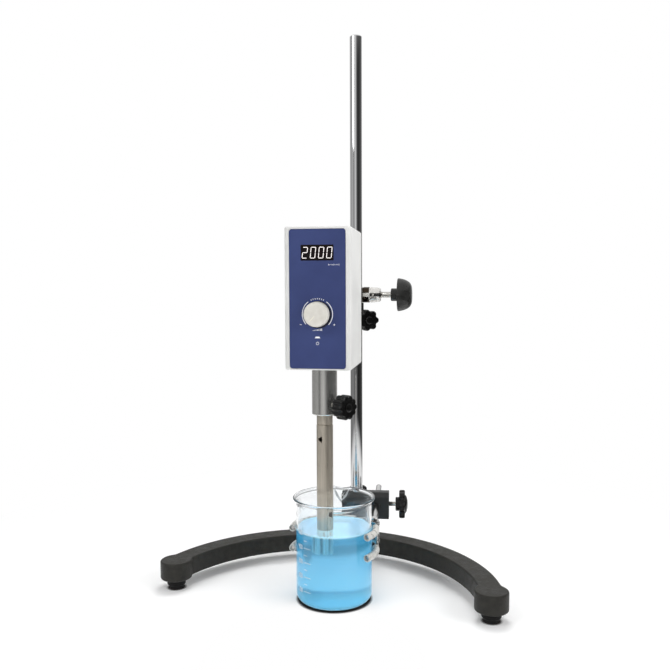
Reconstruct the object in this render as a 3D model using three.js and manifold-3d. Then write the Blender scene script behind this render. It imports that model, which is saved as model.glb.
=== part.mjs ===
// Benchtop homogenizer on a stand, with its dispersing tool in a clamped beaker.
// Millimetres, +Z up. The origin is on the bench, on the axis of the column.
// The head faces -Y, the base is turned a little the other way about the column.
import * as THREE from 'three';
import { mergeVertices } from 'three/addons/utils/BufferGeometryUtils.js';
import Module from 'manifold-3d';

const wasm = await Module();
wasm.setup();

// Room between pieces
const gap = 0.3;
const runningGap = 0.6;
const overrun = 2;

// Faces on round forms
const fineSides = 28;
const toolSides = 18;
const roundSides = 16;
const innerSides = 14;
const smallSides = 10;
const wireSides = 8;
const fingerSides = 6;
const cornerSteps = 1;
const baseSteps = 7;
const baseEndSteps = 10;
const baseDiscSteps = 2;
const filletSteps = 2;
const beakerCornerSteps = 3;
const rimSteps = 2;
const domeSteps = 7;
const capSteps = 3;
const pointsPerLobe = 5;
const pointsPerFineLobe = 4;
const pointsPerFlute = 2;

// Angles in degrees
const baseTurn = -6;
const holderTurn = 4;
const baseHalfAngle = 78.5;
const collarKnobAzimuth = -60;
const sleeveKnobAzimuth = -34;
const upperVentAzimuth = -106;
const lowerVentAzimuth = -30;
const spoutAzimuth = 83;
const spoutHalfAngle = 15;

// Stand
const footHeight = 12;
const footTopRadius = 11.25;
const footBottomRadius = 8.75;
const footChamfer = 0.8;
const footStemRadius = 3.5;
const footStemLength = 8;
const footPlugLength = 2;
const baseArcRadius = 196.4;
const baseBarWidth = 27;
const baseThickness = 22.6;
const baseEndRadius = 19.3;
const baseFilletRadius = 10;
const baseEdge = 2;
const baseScrewWeb = 4;
const columnRadius = 8;
const columnTop = 700;
const columnChamfer = 1.2;
const columnThreadDepth = 20;
const columnScrewRadius = 4;
const columnScrewLength = 16;
const columnScrewHeadRadius = 6.5;
const columnScrewHeadHeight = 5;

// Stop collar
const collarWall = 6;
const collarNeckHeight = 11.9;
const collarHeight = 20;
const collarNeckWall = 2;
const collarBossRadius = 6.5;
const collarBossLength = 7;
const collarChamfer = 1;

// Knobs with lobes, as outer radius, lobe depth and thickness
const starKnobRadius = 14;
const starKnobLobe = 2.6;
const starKnobThickness = 13;
const starKnobLobes = 7;
const sleeveKnobRadius = 14.4;
const sleeveKnobLobe = 1.9;
const sleeveKnobThickness = 15;
const sleeveKnobLobes = 10;
const wingKnobRadius = 19.2;
const wingKnobLobe = 4.6;
const wingKnobThickness = 8;
const wingKnobLobes = 6;
const knobEdge = 1.4;
const lobePower = 1.6;
const knobHubRadius = 6.5;
const knobHubLength = 3.5;
const wingHubRadius = 9.3;
const wingHubLength = 4.8;
const knobCapRadius = 5;
const knobCapHeight = 1.4;
const wingCapRadius = 12.2;
const wingCapHeight = 3.8;
const knobSeatDepth = 7;
const knobScrewRadius = 3;

// Head clamp
const clampHeight = 360.5;
const clampBlockHeight = 20.6;
const clampBlockDepth = 30;
const clampBlockWall = 2.4;
const clampBlockLeft = 36;
const clampBlockEdge = 2;
const bossTaper = 1.2;
const bossGrooveStart = 8;
const bossGrooveDepth = 0.9;
const bossGrooveWidth = 1.2;
const bossLength = 22.8;
const bossSlotWidth = 4.4;
const bossSlotDepth = 14;
const rodWall = 4;
const supportRodRadius = 6;
const supportRodEnd = 45;
const domeScrewRadius = 3.9;
const domeStandOff = 13.7;
const domeHubRadius = 8.5;
const domeHubLength = 8.9;
const domeRadius = 21.9;
const domeHeight = 19;
const domeRim = 0.6;
const domePower = 0.22;
const domeFullness = 1.5;
const domeEdge = 0.5;
const domeSeatDepth = 12;
const rodKnobStandOff = 9;

// Head housing
const headReach = 146.5;
const housingWidth = 75.6;
const housingHeight = 159.6;
const rodAboveFloor = 81.1;
const housingRearDrop = 2;
const housingWall = 3;
const housingFrontRound = 5;
const housingLipRound = 1.6;
const housingRearRound = 10;
const rearCoverDepth = 14;
const panelSideMargin = 6.2;
const panelBottomMargin = 1.9;
const panelTopMargin = 3;
const panelRound = 3;
const panelThickness = 1;
const windowWidth = 37;
const windowHeight = 17.5;
const windowDrop = 29;
const windowThickness = 1.4;
const windowLip = 1.5;
const displayDepth = 8;
const displayMargin = 3;

// Speed knob
const knobDrop = 68;
const speedKnobRadius = 14.15;
const speedKnobDepth = 10;
const speedKnobFlute = 0.5;
const speedKnobFlutes = 26;
const speedKnobTravel = 1.2;
const speedKnobEdge = 1.1;
const spindleRadius = 3;
const spindleSeat = 6.5;
const encoderWidth = 14;
const encoderDepth = 11;
const encoderBushRadius = 5;
const encoderFloor = 1.5;
const encoderClear = 3.2;

// Rear of the head
const rearFlangeWidth = 36;
const rearFlangeThickness = 7;
const rearFlangeRound = 5;
const rearFlangeEdge = 1;
const boardSideMargin = 5.8;
const boardBottomMargin = 37;
const boardTopMargin = 15;
const boardThickness = 1.6;
const boardPillarRadius = 3.2;
const boardPillarInset = 6;
const capacitorRadius = 6;
const capacitorHeight = 11;
const heatSinkWidth = 24;
const heatSinkHeight = 30;
const heatSinkDepth = 5;
const inletWidth = 27;
const inletHeight = 20;
const inletDepth = 11;
const inletFlangeMargin = 2.5;
const inletFlangeThickness = 2;
const inletRise = 20;
const inletPocketMargin = 3;
const inletPinWidth = 2;
const inletPinHeight = 4;
const inletPinSpacing = 7;
const ventSlotWidth = 40;
const ventSlotHeight = 3;
const ventSlotPitch = 7;
const ventSlotCount = 6;
const ventSlotDrop = 53;

// Motor
const motorRadius = 26;
const motorWall = 5;
const motorHeadroom = 5.7;
const motorFloor = 10;
const motorEndHeight = 11;
const motorVentRadius = 3;
const motorVentCircle = 17;
const motorVents = 6;
const bearingRadius = 9.5;
const bearingHeight = 6;
const bearingGroove = 1.2;
const motorShaftRadius = 4;
const motorShaftClear = 1.5;
const armatureHeight = 30;
const armatureStart = 8;
const armatureSlots = 10;
const armatureSlotShare = 0.42;
const armatureCoreShare = 0.72;
const armatureCornerShare = 0.15;
const commutatorRadius = 8.5;
const commutatorHeight = 10;
const brushWidth = 7;
const fanRadius = 23;
const fanHeight = 10;
const fanDisc = 1.6;
const fanHubRadius = 8;
const fanBlades = 9;
const fanBladeThickness = 1.4;
const fanLift = 5;

// Tool sleeve and dispersing tool
const sleeveWall = 5.05;
const sleeveLength = 56.6;
const sleeveChamfer = 1.2;
const sleeveFlangeRadius = 25;
const sleeveFlangeThickness = 5;
const sleeveKnobRise = 11.5;
const sleeveKnobStandOff = 5.5;
const toolShaftRadius = 3;
const bushWall = 1.6;
const spigotWall = 2.1;
const toolWall = 1.8;
const toolStep = 0.3;
const toolJointDrop = 12.1;
const toolGroove = 0.7;
const toolGrooveHeight = 0.9;
const toolStandOff = 57.4;
const ventRadius = 3;
const upperVentDrop = 17.7;
const lowerVentRise = 45;
const statorRoof = 3.9;
const statorWall = 1.8;
const statorSpigot = 9;
const statorSlots = 7;
const statorSlotWidth = 2.8;
const statorSlotHeight = 20;
const statorSlotAzimuth = -91;
const rotorHeight = 18.5;
const rotorHubWall = 1.9;
const rotorBladeThickness = 2.6;
const rotorTeeth = 4;
const rotorSeat = 8;
const rotorLift = 1.5;
const bushHeight = 8;
const upperBushDrop = 10;
const couplingWall = 2.6;
const couplingHeight = 20;
const couplingRise = 2;
const couplingClear = 1.6;

// Beaker and liquid
const toolOffsetX = -9.5;
const toolOffsetY = -6.5;
const beakerRadius = 45.1;
const beakerHeight = 124;
const beakerWall = 1.9;
const beakerFloor = 2.6;
const beakerCorner = 10;
const beakerRimReach = 3.6;
const beakerRimHeight = 6;
const beakerRimBead = 1.4;
const spoutReach = 6;
const spoutDip = 1.2;
const spoutDepth = 16;
const freeboard = 37.5;

// Beaker holder
const bossheadLeftWall = 10;
const bossheadSideWall = 3.5;
const bossheadRightWall = 12.8;
const bossheadDrop = 18;
const bossheadHeight = 35;
const bossheadBevel = 4;
const bossheadEdge = 1;
const holderRodRadius = 4;
const holderRodDrop = 8;
const holderRodBack = 88;
const holderKnobStandOff = 8.9;
const hubAzimuth = 33.43;
const hubStandOff = 0.574;
const hubRadius = 6.6;
const hubChamfer = 1;
const armInset = 1;
const linkEndRadius = 3.6;
const pinWall = 1.2;
const holderRodChamfer = 0.5;
const hubDrop = 10;
const hubRise = 8;
const fingerRadius = 2.6;
const fingerClear = 0.55;
const fingerRoom = 0.5;
const fingerSleeveWall = 1.15;
const upperFingerDrop = 24;
const fingerPitch = 24.5;
const fingerBarOffset = 4.1;
const lugThickness = 3;
const pinRadius = 2.4;
const pinHeadRadius = 4.6;
const pinHeadHeight = 2.4;
const hubBarAngle = 12.5;
const fingerBlendAngle = 9;
const fingerStepAngle = 12;
const fixedFingerAzimuth = 178;
const fixedSleeveAzimuth = 62;
const movingFingerAzimuth = -34;
const movingSleeveAzimuth = 9;
const sleeveOverhangAngle = 2.5;
const sleeveCutAngle = 1;

const rad = Math.PI / 180;
const fullTurn = 2 * Math.PI;
const upward = new THREE.Vector3(0, 0, 1);
const alongX = new THREE.Vector3(1, 0, 0);
const alongY = new THREE.Vector3(0, 1, 0);
const againstX = new THREE.Vector3(-1, 0, 0);
const againstY = new THREE.Vector3(0, -1, 0);

// Stop collar and head clamp, round the column
const collarRadius = columnRadius + collarWall;
const collarNeckRadius = columnRadius + collarNeckWall;
const collarBossReach = collarRadius + collarBossLength;
const clampBottom = clampHeight - clampBlockHeight / 2;
const collarBottom = clampBottom - gap - collarNeckHeight - collarHeight;
const collarKnobHeight = collarBottom + collarHeight / 2;
const rodSpacing = columnRadius + supportRodRadius + rodWall;
const clampBlockRight = columnRadius + clampBlockWall;
const bossRadius = clampBlockHeight / 2;
const bossTipRadius = bossRadius - bossTaper;
const bossEnd = clampBlockRight + bossLength;
const domeHubStart = bossEnd + domeStandOff;
const domeStart = domeHubStart + domeHubLength;

// Housing, about the axis of the tool: the front wall is at -housingFront
const housingBottom = clampHeight - rodAboveFloor;
const housingTop = housingBottom + housingHeight;
const housingFront = motorRadius + encoderClear + encoderDepth + gap + housingWall;
const coverJoint = motorRadius + runningGap + capacitorHeight + boardThickness + gap;
const housingRear = coverJoint + rearCoverDepth;
const housingDepth = housingFront + housingRear;
const frontWallInside = housingWall - housingFront;
const panelWidth = housingWidth - 2 * panelSideMargin;
const panelBottom = housingBottom + panelBottomMargin;
const panelTop = housingTop - panelTopMargin;
const panelHeight = panelTop - panelBottom;
const panelMiddle = (panelTop + panelBottom) / 2;
const panelFront = -housingFront - gap;
const panelBack = panelThickness - housingFront;
const windowCentre = housingTop - windowDrop;
const speedKnobHeight = windowCentre - knobDrop;
const knobBack = -housingFront - gap - speedKnobTravel - runningGap;
const coverInside = housingRear - housingWall;
const boardBack = coverJoint - gap;
const boardFront = boardBack - boardThickness;
const boardWidth = housingWidth - 2 * housingWall - 2 * boardSideMargin;
const boardBottom = housingBottom + boardBottomMargin;
const boardTop = housingTop - boardTopMargin;
const inletCentre = housingBottom + inletRise;
const ventSlotStart = housingTop - ventSlotDrop;

// Motor, on the flange of the sleeve
const flangeBottom = housingBottom + housingWall + gap;
const motorBottom = flangeBottom + sleeveFlangeThickness + gap;
const armatureBottom = motorBottom + motorFloor + armatureStart;
const armatureTop = armatureBottom + armatureHeight;
const armatureRadius = motorRadius - motorWall - runningGap;
const commutatorBottom = armatureTop + gap;
const commutatorTop = commutatorBottom + commutatorHeight;
const motorTop = commutatorTop + motorHeadroom;
const lowerBearing = motorBottom + motorFloor - bearingHeight - gap;
const endBottom = motorTop + gap;
const upperBearing = endBottom + gap;
const shaftTop = endBottom + motorEndHeight + fanLift + fanHeight;

// Dispersing tool, from its shaft outward, and along it
const statorSpigotBore = toolShaftRadius + gap + bushWall + gap;
const toolBoreRadius = statorSpigotBore + spigotWall + gap;
const toolNeckRadius = toolBoreRadius + toolWall;
const toolTubeRadius = toolNeckRadius + toolStep;
const sleeveRadius = toolNeckRadius + gap + sleeveWall;
const couplingRadius = motorShaftRadius + gap + couplingWall;
const statorBoreRadius = toolTubeRadius - statorWall;
const rotorRadius = statorBoreRadius - runningGap;
const rotorHubRadius = toolShaftRadius + gap + rotorHubWall;
const couplingTop = motorBottom - couplingClear;
const couplingBottom = couplingTop - couplingHeight;
const shaftMeeting = couplingBottom + couplingHeight / 2;
const toolTop = couplingBottom - couplingRise;
const sleeveBottom = housingBottom - sleeveLength;
const sleeveKnobHeight = sleeveBottom + sleeveKnobRise;
const toolJoint = sleeveBottom - toolJointDrop;
const upperVentHeight = toolJoint - upperVentDrop;
const toolBottom = beakerFloor + toolStandOff;
const lowerVentHeight = toolBottom + lowerVentRise;
const rotorBottom = toolBottom + rotorLift;
const rotorTop = rotorBottom + rotorHeight;
const chamberTop = rotorTop + runningGap;
const statorTop = chamberTop + statorRoof;

// Beaker, under the tool
const beakerX = -rodSpacing - toolOffsetX;
const beakerY = -headReach - toolOffsetY;
const beakerInner = beakerRadius - beakerWall;
const innerCorner = beakerCorner - beakerWall;
const lipStart = beakerHeight - spoutDepth;
const liquidLevel = beakerHeight - freeboard;

// Beaker holder, in its own frame, turned about the column with the bosshead
const beakerInHolder = new THREE.Vector2(beakerX, beakerY)
  .rotateAround(new THREE.Vector2(0, 0), -holderTurn * rad);
const fingerSleeveRadius = fingerRadius + fingerRoom + fingerSleeveWall;
const fingerTrack = beakerRadius + fingerClear + fingerSleeveRadius;
const barTrack = fingerTrack + fingerBarOffset;
const hubX = beakerInHolder.x + (barTrack + hubStandOff) * Math.cos(hubAzimuth * rad);
const hubY = beakerInHolder.y + (barTrack + hubStandOff) * Math.sin(hubAzimuth * rad);
const upperFingerHeight = lipStart - upperFingerDrop;
const lowerFingerHeight = upperFingerHeight - fingerPitch;
const holderRodHeight = upperFingerHeight - holderRodDrop;
const hubBottom = holderRodHeight - hubDrop;
const hubTop = holderRodHeight + hubRise;
const bossheadLeft = columnRadius + bossheadLeftWall;
const bossheadRight = hubX + holderRodRadius + bossheadRightWall;
const bossheadDepth = 2 * (columnRadius + bossheadSideWall);
const bossheadBottom = holderRodHeight - bossheadDrop;
const columnKnobHeight = bossheadBottom + bossheadHeight / 2;

// Closed, merged form of a geometry with its faces pointing out
function closedForm(geometry) {
  const bare = new THREE.BufferGeometry();
  bare.setAttribute('position', geometry.getAttribute('position'));
  if (geometry.index) bare.setIndex(geometry.index);
  const merged = mergeVertices(bare);
  const position = merged.getAttribute('position');
  const corners = Array.from({ length: 3 }, () => new THREE.Vector3());
  const kept = [];
  let volume = 0;
  for (let face = 0; face < merged.index.count; face += 3) {
    const ids = [0, 1, 2].map((step) => merged.index.getX(face + step));
    if (ids[0] === ids[1] || ids[1] === ids[2] || ids[0] === ids[2]) continue;
    ids.forEach((id, at) => corners[at].fromBufferAttribute(position, id));
    volume += corners[0].dot(corners[1].clone().cross(corners[2]));
    kept.push(...ids);
  }
  if (volume < 0) kept.reverse();
  merged.setIndex(kept);
  return merged;
}

function asSolid(geometry) {
  const closed = closedForm(geometry);
  const vertProperties = new Float32Array(closed.getAttribute('position').array);
  const triVerts = new Uint32Array(closed.index.array);
  return new wasm.Manifold(new wasm.Mesh({ numProp: 3, vertProperties, triVerts }));
}

function asGeometry(solid) {
  const mesh = solid.getMesh();
  const geometry = new THREE.BufferGeometry();
  geometry.setAttribute('position', new THREE.BufferAttribute(new Float32Array(mesh.vertProperties), 3));
  geometry.setIndex(new THREE.BufferAttribute(new Uint32Array(mesh.triVerts), 1));
  return geometry;
}

function join(first, ...others) {
  return asGeometry(others.reduce((whole, piece) => whole.add(asSolid(piece)), asSolid(first)));
}

function cut(first, ...tools) {
  return asGeometry(tools.reduce((whole, tool) => whole.subtract(asSolid(tool)), asSolid(first)));
}

function common(first, second) {
  return asGeometry(asSolid(first).intersect(asSolid(second)));
}

// A profile of [radius, height] pairs turned about Z
function revolve(profile, sideCount = roundSides) {
  const points = profile.map(([radius, height]) => new THREE.Vector2(radius, height));
  const geometry = new THREE.LatheGeometry(points, sideCount);
  geometry.rotateX(90 * rad);
  return closedForm(geometry);
}

function rod(radius, bottom, top, sideCount = roundSides) {
  return revolve([[0, bottom], [radius, bottom], [radius, top], [0, top]], sideCount);
}

function ring(inner, outer, bottom, top, sideCount = roundSides) {
  const profile = [[inner, bottom], [outer, bottom], [outer, top], [inner, top], [inner, bottom]];
  return revolve(profile, sideCount);
}

function chamferedRod(radius, bottom, top, chamfer, sideCount = roundSides) {
  const neck = radius - chamfer;
  const profile = [[0, bottom], [neck, bottom], [radius, bottom + chamfer]];
  profile.push([radius, top - chamfer], [neck, top], [0, top]);
  return revolve(profile, sideCount);
}

// An outline in X and Y raised from bottom to top, with its edges bevelled inward
function plate(outline, bottom, top, bevel = 0, curveSegments = cornerSteps) {
  const geometry = new THREE.ExtrudeGeometry(outline, {
    depth: top - bottom - 2 * bevel,
    curveSegments,
    bevelEnabled: bevel > 0,
    bevelThickness: bevel,
    bevelSize: bevel,
    bevelOffset: -bevel,
    bevelSegments: 1,
  });
  geometry.translate(0, 0, bottom + bevel);
  return closedForm(geometry);
}

function moved(geometry, x, y, z) {
  return geometry.clone().translate(x, y, z);
}

// Turns a form that stands on +Z so that it points along a direction, then moves it
function aimed(geometry, direction, x = 0, y = 0, z = 0) {
  const turn = new THREE.Quaternion().setFromUnitVectors(upward, direction);
  return geometry.clone().applyQuaternion(turn).translate(x, y, z);
}

function spun(geometry, angle) {
  return geometry.clone().rotateZ(angle);
}

function azimuth(degrees) {
  return new THREE.Vector3(Math.cos(degrees * rad), Math.sin(degrees * rad), 0);
}

function rectangle(width, height, corner = 0) {
  const x = width / 2;
  const y = height / 2;
  const outline = new THREE.Shape();
  outline.moveTo(corner - x, -y);
  outline.lineTo(x - corner, -y);
  if (corner) outline.absarc(x - corner, corner - y, corner, -90 * rad, 0);
  outline.lineTo(x, y - corner);
  if (corner) outline.absarc(x - corner, y - corner, corner, 0, 90 * rad);
  outline.lineTo(corner - x, y);
  if (corner) outline.absarc(corner - x, y - corner, corner, 90 * rad, 180 * rad);
  outline.lineTo(-x, corner - y);
  if (corner) outline.absarc(corner - x, corner - y, corner, 180 * rad, 270 * rad);
  return outline;
}

function box(left, right, front, back, bottom, top) {
  const geometry = new THREE.BoxGeometry(right - left, back - front, top - bottom);
  geometry.translate((left + right) / 2, (front + back) / 2, (bottom + top) / 2);
  return closedForm(geometry);
}

// A stretch of round wire along a curve
function wire(curve, radius, steps, sideCount = wireSides) {
  const section = new THREE.Shape();
  section.absarc(0, 0, radius, 0, 360 * rad);
  const settings = { steps, curveSegments: sideCount / 2, extrudePath: curve };
  return closedForm(new THREE.ExtrudeGeometry(section, settings));
}

// Materials
function finish(colour, roughness, metalness, opacity = 1) {
  const settings = { color: colour, roughness, metalness, opacity, transparent: opacity < 1 };
  return new THREE.MeshStandardMaterial(settings);
}

const castIron = finish(0x32312f, 0.7, 0.1);
const rubber = finish(0x131313, 0.9, 0);
const polishedSteel = finish(0xb6b6b4, 0.15, 1);
const brushedSteel = finish(0x8b8a85, 0.35, 1);
const toolSteel = finish(0x928e82, 0.3, 1);
const chrome = finish(0xc8c8c6, 0.08, 1);
const blackPlastic = finish(0x1c1c1b, 0.5, 0);
const satinPlastic = finish(0x474745, 0.45, 0);
const whitePlastic = finish(0xe6e6e4, 0.5, 0);
const bluePanel = finish(0x414d77, 0.45, 0);
const darkWindow = finish(0x0d0909, 0.1, 0);
const knobPlastic = finish(0xcfccc3, 0.55, 0);
const motorSteel = finish(0x6f7276, 0.4, 1);
const copper = finish(0xb5703c, 0.4, 1);
const graphite = finish(0x2b2b2d, 0.8, 0);
const boardGreen = finish(0x1f5a36, 0.6, 0);
const paleBush = finish(0xe9e6dc, 0.5, 0);
const brass = finish(0xb79a55, 0.35, 1);
const bossheadBlack = finish(0x24241f, 0.6, 0.2);
const paleSleeve = finish(0xbbbab6, 0.45, 0, 0.8);
const glass = finish(0xe8eef0, 0.05, 0, 0.3);
const blueLiquid = finish(0x7fcdf3, 0.1, 0, 0.75);

function piece(parent, name, geometry, material) {
  const shown = geometry.index ? geometry.toNonIndexed() : geometry;
  shown.computeVertexNormals();
  const mesh = new THREE.Mesh(mergeVertices(closedForm(shown)), material);
  mesh.geometry.computeVertexNormals();
  mesh.name = name;
  parent.add(mesh);
  return mesh;
}

function bodyGroup(parent, x = 0, y = 0, z = 0, turn = 0) {
  const group = new THREE.Group();
  group.position.set(x, y, z);
  group.rotation.z = turn * rad;
  parent.add(group);
  return group;
}

// Knobs stand on +Z: the screw points down, the cap is on top

function lobedOutline(radius, lobe, lobes, pointsEach) {
  const count = lobes * pointsEach;
  const points = [];
  for (let step = 0; step < count; step += 1) {
    const angle = (step / count) * 360 * rad;
    const dip = ((1 - Math.cos(lobes * angle)) / 2) ** lobePower;
    const reach = radius - lobe * dip;
    points.push(new THREE.Vector2(reach * Math.cos(angle), reach * Math.sin(angle)));
  }
  return new THREE.Shape(points);
}

// The crowned cap in the middle of a knob's outer face
function knobCap(size) {
  const profile = [[0, size.thickness - overrun], [size.capRadius, size.thickness - overrun]];
  for (let step = 0; step < capSteps; step += 1) {
    const angle = (step / capSteps) * 90 * rad;
    profile.push([size.capRadius * Math.cos(angle), size.thickness + size.capHeight * Math.sin(angle)]);
  }
  profile.push([0, size.thickness + size.capHeight]);
  return revolve(profile, smallSides);
}

function lobedKnob(size) {
  const outline = lobedOutline(size.radius, size.lobe, size.lobes, size.points);
  const grip = plate(outline, 0, size.thickness, knobEdge);
  const hub = rod(size.hubRadius, -size.hubLength, overrun, smallSides);
  const cap = knobCap(size);
  const seatTop = knobSeatDepth - size.hubLength;
  const seat = rod(knobScrewRadius + gap, -size.hubLength - overrun, seatTop, smallSides);
  return cut(join(grip, hub, cap), seat);
}

// The screw of a knob, from its tip to just short of the end of its seat
function knobScrew(radius, length, seatDepth) {
  const tip = radius / 4;
  const profile = [[0, -length], [radius - tip, -length], [radius, tip - length]];
  profile.push([radius, seatDepth - gap]);
  return revolve([...profile, [0, seatDepth - gap]], smallSides);
}

const starKnob = {
  radius: starKnobRadius,
  lobe: starKnobLobe,
  lobes: starKnobLobes,
  thickness: starKnobThickness,
  points: pointsPerLobe,
  hubRadius: knobHubRadius,
  hubLength: knobHubLength,
  capRadius: knobCapRadius,
  capHeight: knobCapHeight,
};
const sleeveKnob = {
  radius: sleeveKnobRadius,
  lobe: sleeveKnobLobe,
  lobes: sleeveKnobLobes,
  thickness: sleeveKnobThickness,
  points: pointsPerFineLobe,
  hubRadius: knobHubRadius,
  hubLength: knobHubLength,
  capRadius: knobCapRadius,
  capHeight: knobCapHeight,
};
const wingKnob = {
  radius: wingKnobRadius,
  lobe: wingKnobLobe,
  lobes: wingKnobLobes,
  thickness: wingKnobThickness,
  points: pointsPerLobe,
  hubRadius: wingHubRadius,
  hubLength: wingHubLength,
  capRadius: wingCapRadius,
  capHeight: wingCapHeight,
};

// Adds a lobed knob and its screw; the knob's hub starts at start, the screw's tip is at tip
function addKnob(parent, name, size, direction, start, tip, x, y, z) {
  const place = (geometry) => aimed(geometry, direction, x, y, z)
    .translate(direction.x * start, direction.y * start, direction.z * start);
  const knob = moved(lobedKnob(size), 0, 0, size.hubLength);
  const screw = knobScrew(knobScrewRadius, start - tip, knobSeatDepth);
  piece(parent, name, place(knob), blackPlastic);
  piece(parent, `${name}_screw`, place(screw), chrome);
}

// Stand: a cast arc on three feet, with the column at its middle

const baseBottom = footHeight + gap;
const baseTop = baseBottom + baseThickness;
const plugTop = footHeight + footPlugLength;
const screwSeat = plugTop + gap + columnScrewHeadHeight + gap;
const columnBottom = screwSeat + baseScrewWeb + gap;

function baseEndPlace(side) {
  const angle = side * baseHalfAngle * rad;
  return [baseArcRadius * Math.sin(angle), baseArcRadius * (Math.cos(angle) - 1)];
}

// A point of the base, by its distance from the middle of the arc and its angle
function alongBase(distance, angle) {
  return new THREE.Vector2(distance * Math.sin(angle), distance * Math.cos(angle) - baseArcRadius);
}

// The fillet where the bar runs into a disc: towards is the way the bar leaves
// the disc, and side is the outer (1) or inner (-1) edge of the bar
function baseFillet(discAngle, towards, side) {
  const edge = baseArcRadius + side * baseBarWidth / 2;
  const far = edge + side * baseFilletRadius;
  const reach = baseEndRadius + baseFilletRadius;
  const cosine = (baseArcRadius ** 2 + far ** 2 - reach ** 2) / (2 * baseArcRadius * far);
  const angle = discAngle + towards * Math.acos(cosine);
  const disc = alongBase(baseArcRadius, discAngle);
  return { centre: alongBase(far, angle), disc, bar: alongBase(edge, angle), edge, side };
}

// Points of an arc, from the direction of one point to the direction of another.
// The first one is left out, because the arc before it ends there.
function arcPoints(centre, radius, from, to, turn, steps) {
  const start = from.clone().sub(centre).angle();
  const angle = to.clone().sub(centre).angle() - start;
  const sweep = turn * ((turn * angle + 2 * fullTurn) % fullTurn);
  return Array.from({ length: steps }, (unused, at) => {
    const here = start + sweep * (at + 1) / steps;
    return new THREE.Vector2(radius * Math.cos(here), radius * Math.sin(here)).add(centre);
  });
}

function baseOutline() {
  const end = baseHalfAngle * rad;
  const outside = [[-end, 1, 1], [0, -1, 1], [0, 1, 1], [end, -1, 1]];
  const inside = [[end, -1, -1], [0, 1, -1], [0, -1, -1], [-end, 1, -1]];
  const bends = [...outside, ...inside].map((bend) => baseFillet(...bend));
  const starts = bends.filter((bend, at) => at % 2 === 0);
  const points = starts.flatMap((from, at) => {
    const to = bends[2 * at + 1];
    const next = starts[(at + 1) % starts.length];
    const discSteps = at % 2 ? baseEndSteps : baseDiscSteps;
    return [
      ...arcPoints(from.centre, baseFilletRadius, from.disc, from.bar, 1, filletSteps),
      ...arcPoints(alongBase(0, 0), from.edge, from.bar, to.bar, -from.side, baseSteps),
      ...arcPoints(to.centre, baseFilletRadius, to.bar, to.disc, 1, filletSteps),
      ...arcPoints(to.disc, baseEndRadius, to.centre, next.centre, -1, discSteps),
    ];
  });
  return new THREE.Shape(points);
}

function baseArc() {
  const stemHole = rod(footStemRadius + gap, baseBottom - overrun, baseBottom + footStemLength + gap,
    smallSides);
  const stemHoles = [-1, 1].map((side) => moved(stemHole, ...baseEndPlace(side), 0));
  const socket = rod(columnRadius + gap, columnBottom - gap, baseTop + overrun);
  const headBore = rod(columnScrewHeadRadius + runningGap, baseBottom - overrun, screwSeat, smallSides);
  const screwBore = rod(columnScrewRadius + runningGap, baseBottom, baseTop, smallSides);
  const body = plate(baseOutline(), baseBottom, baseTop, baseEdge);
  return cut(body, socket, headBore, screwBore, ...stemHoles);
}

function foot(stemRadius, stemLength) {
  const profile = [[0, 0], [footBottomRadius - footChamfer, 0], [footBottomRadius, footChamfer]];
  profile.push([footTopRadius, footHeight - footChamfer], [footTopRadius, footHeight]);
  const top = footHeight + stemLength;
  profile.push([stemRadius, footHeight], [stemRadius, top], [0, top]);
  return revolve(profile);
}

function column() {
  const bore = columnScrewRadius + gap;
  const shoulder = columnRadius - columnChamfer;
  const profile = [[0, columnBottom + columnThreadDepth], [bore, columnBottom + columnThreadDepth]];
  profile.push([bore, columnBottom], [shoulder, columnBottom]);
  profile.push([columnRadius, columnBottom + columnChamfer]);
  profile.push([columnRadius, columnTop - columnChamfer], [shoulder, columnTop], [0, columnTop]);
  return revolve(profile);
}

function columnScrew() {
  const headTop = screwSeat - gap;
  const head = rod(columnScrewHeadRadius, headTop - columnScrewHeadHeight, headTop, smallSides);
  const shank = rod(columnScrewRadius, screwSeat - overrun, columnBottom + columnScrewLength, smallSides);
  return join(head, shank);
}

function addStand(parent) {
  const base = bodyGroup(parent, 0, 0, 0, baseTurn);
  piece(base, 'base_arc', baseArc(), castIron);
  ['foot_left', 'foot_right'].forEach((name, at) => {
    const [x, y] = baseEndPlace(at * 2 - 1);
    piece(base, name, foot(footStemRadius, footStemLength), rubber).position.set(x, y, 0);
  });
  piece(base, 'foot_rear', foot(columnScrewHeadRadius, footPlugLength), rubber);
  piece(parent, 'column', column(), polishedSteel);
  piece(parent, 'column_screw', columnScrew(), chrome);
}

// Stop collar under the head clamp, held on the column by a lobed knob

function stopCollar() {
  const top = collarBottom + collarHeight;
  const body = chamferedRod(collarRadius, collarBottom, top, collarChamfer);
  const neck = rod(collarNeckRadius, top - overrun, clampBottom - gap);
  const boss = aimed(rod(collarBossRadius, 0, collarBossReach, smallSides), azimuth(collarKnobAzimuth),
    0, 0, collarKnobHeight);
  const bore = rod(columnRadius + gap, collarBottom - overrun, clampBottom + overrun);
  const screwBore = aimed(rod(knobScrewRadius + gap, 0, collarBossReach + overrun, smallSides),
    azimuth(collarKnobAzimuth), 0, 0, collarKnobHeight);
  return cut(join(body, neck, boss), bore, screwBore);
}

function addStopCollar(parent) {
  piece(parent, 'stop_collar', stopCollar(), castIron);
  addKnob(parent, 'stop_collar_knob', starKnob, azimuth(collarKnobAzimuth),
    collarBossReach + runningGap + starKnobThickness / 2, columnRadius + gap, 0, 0, collarKnobHeight);
}

// Head clamp: a cross block with a chrome boss, a domed knob for the column
// and a lobed knob for the rod of the head

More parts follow.
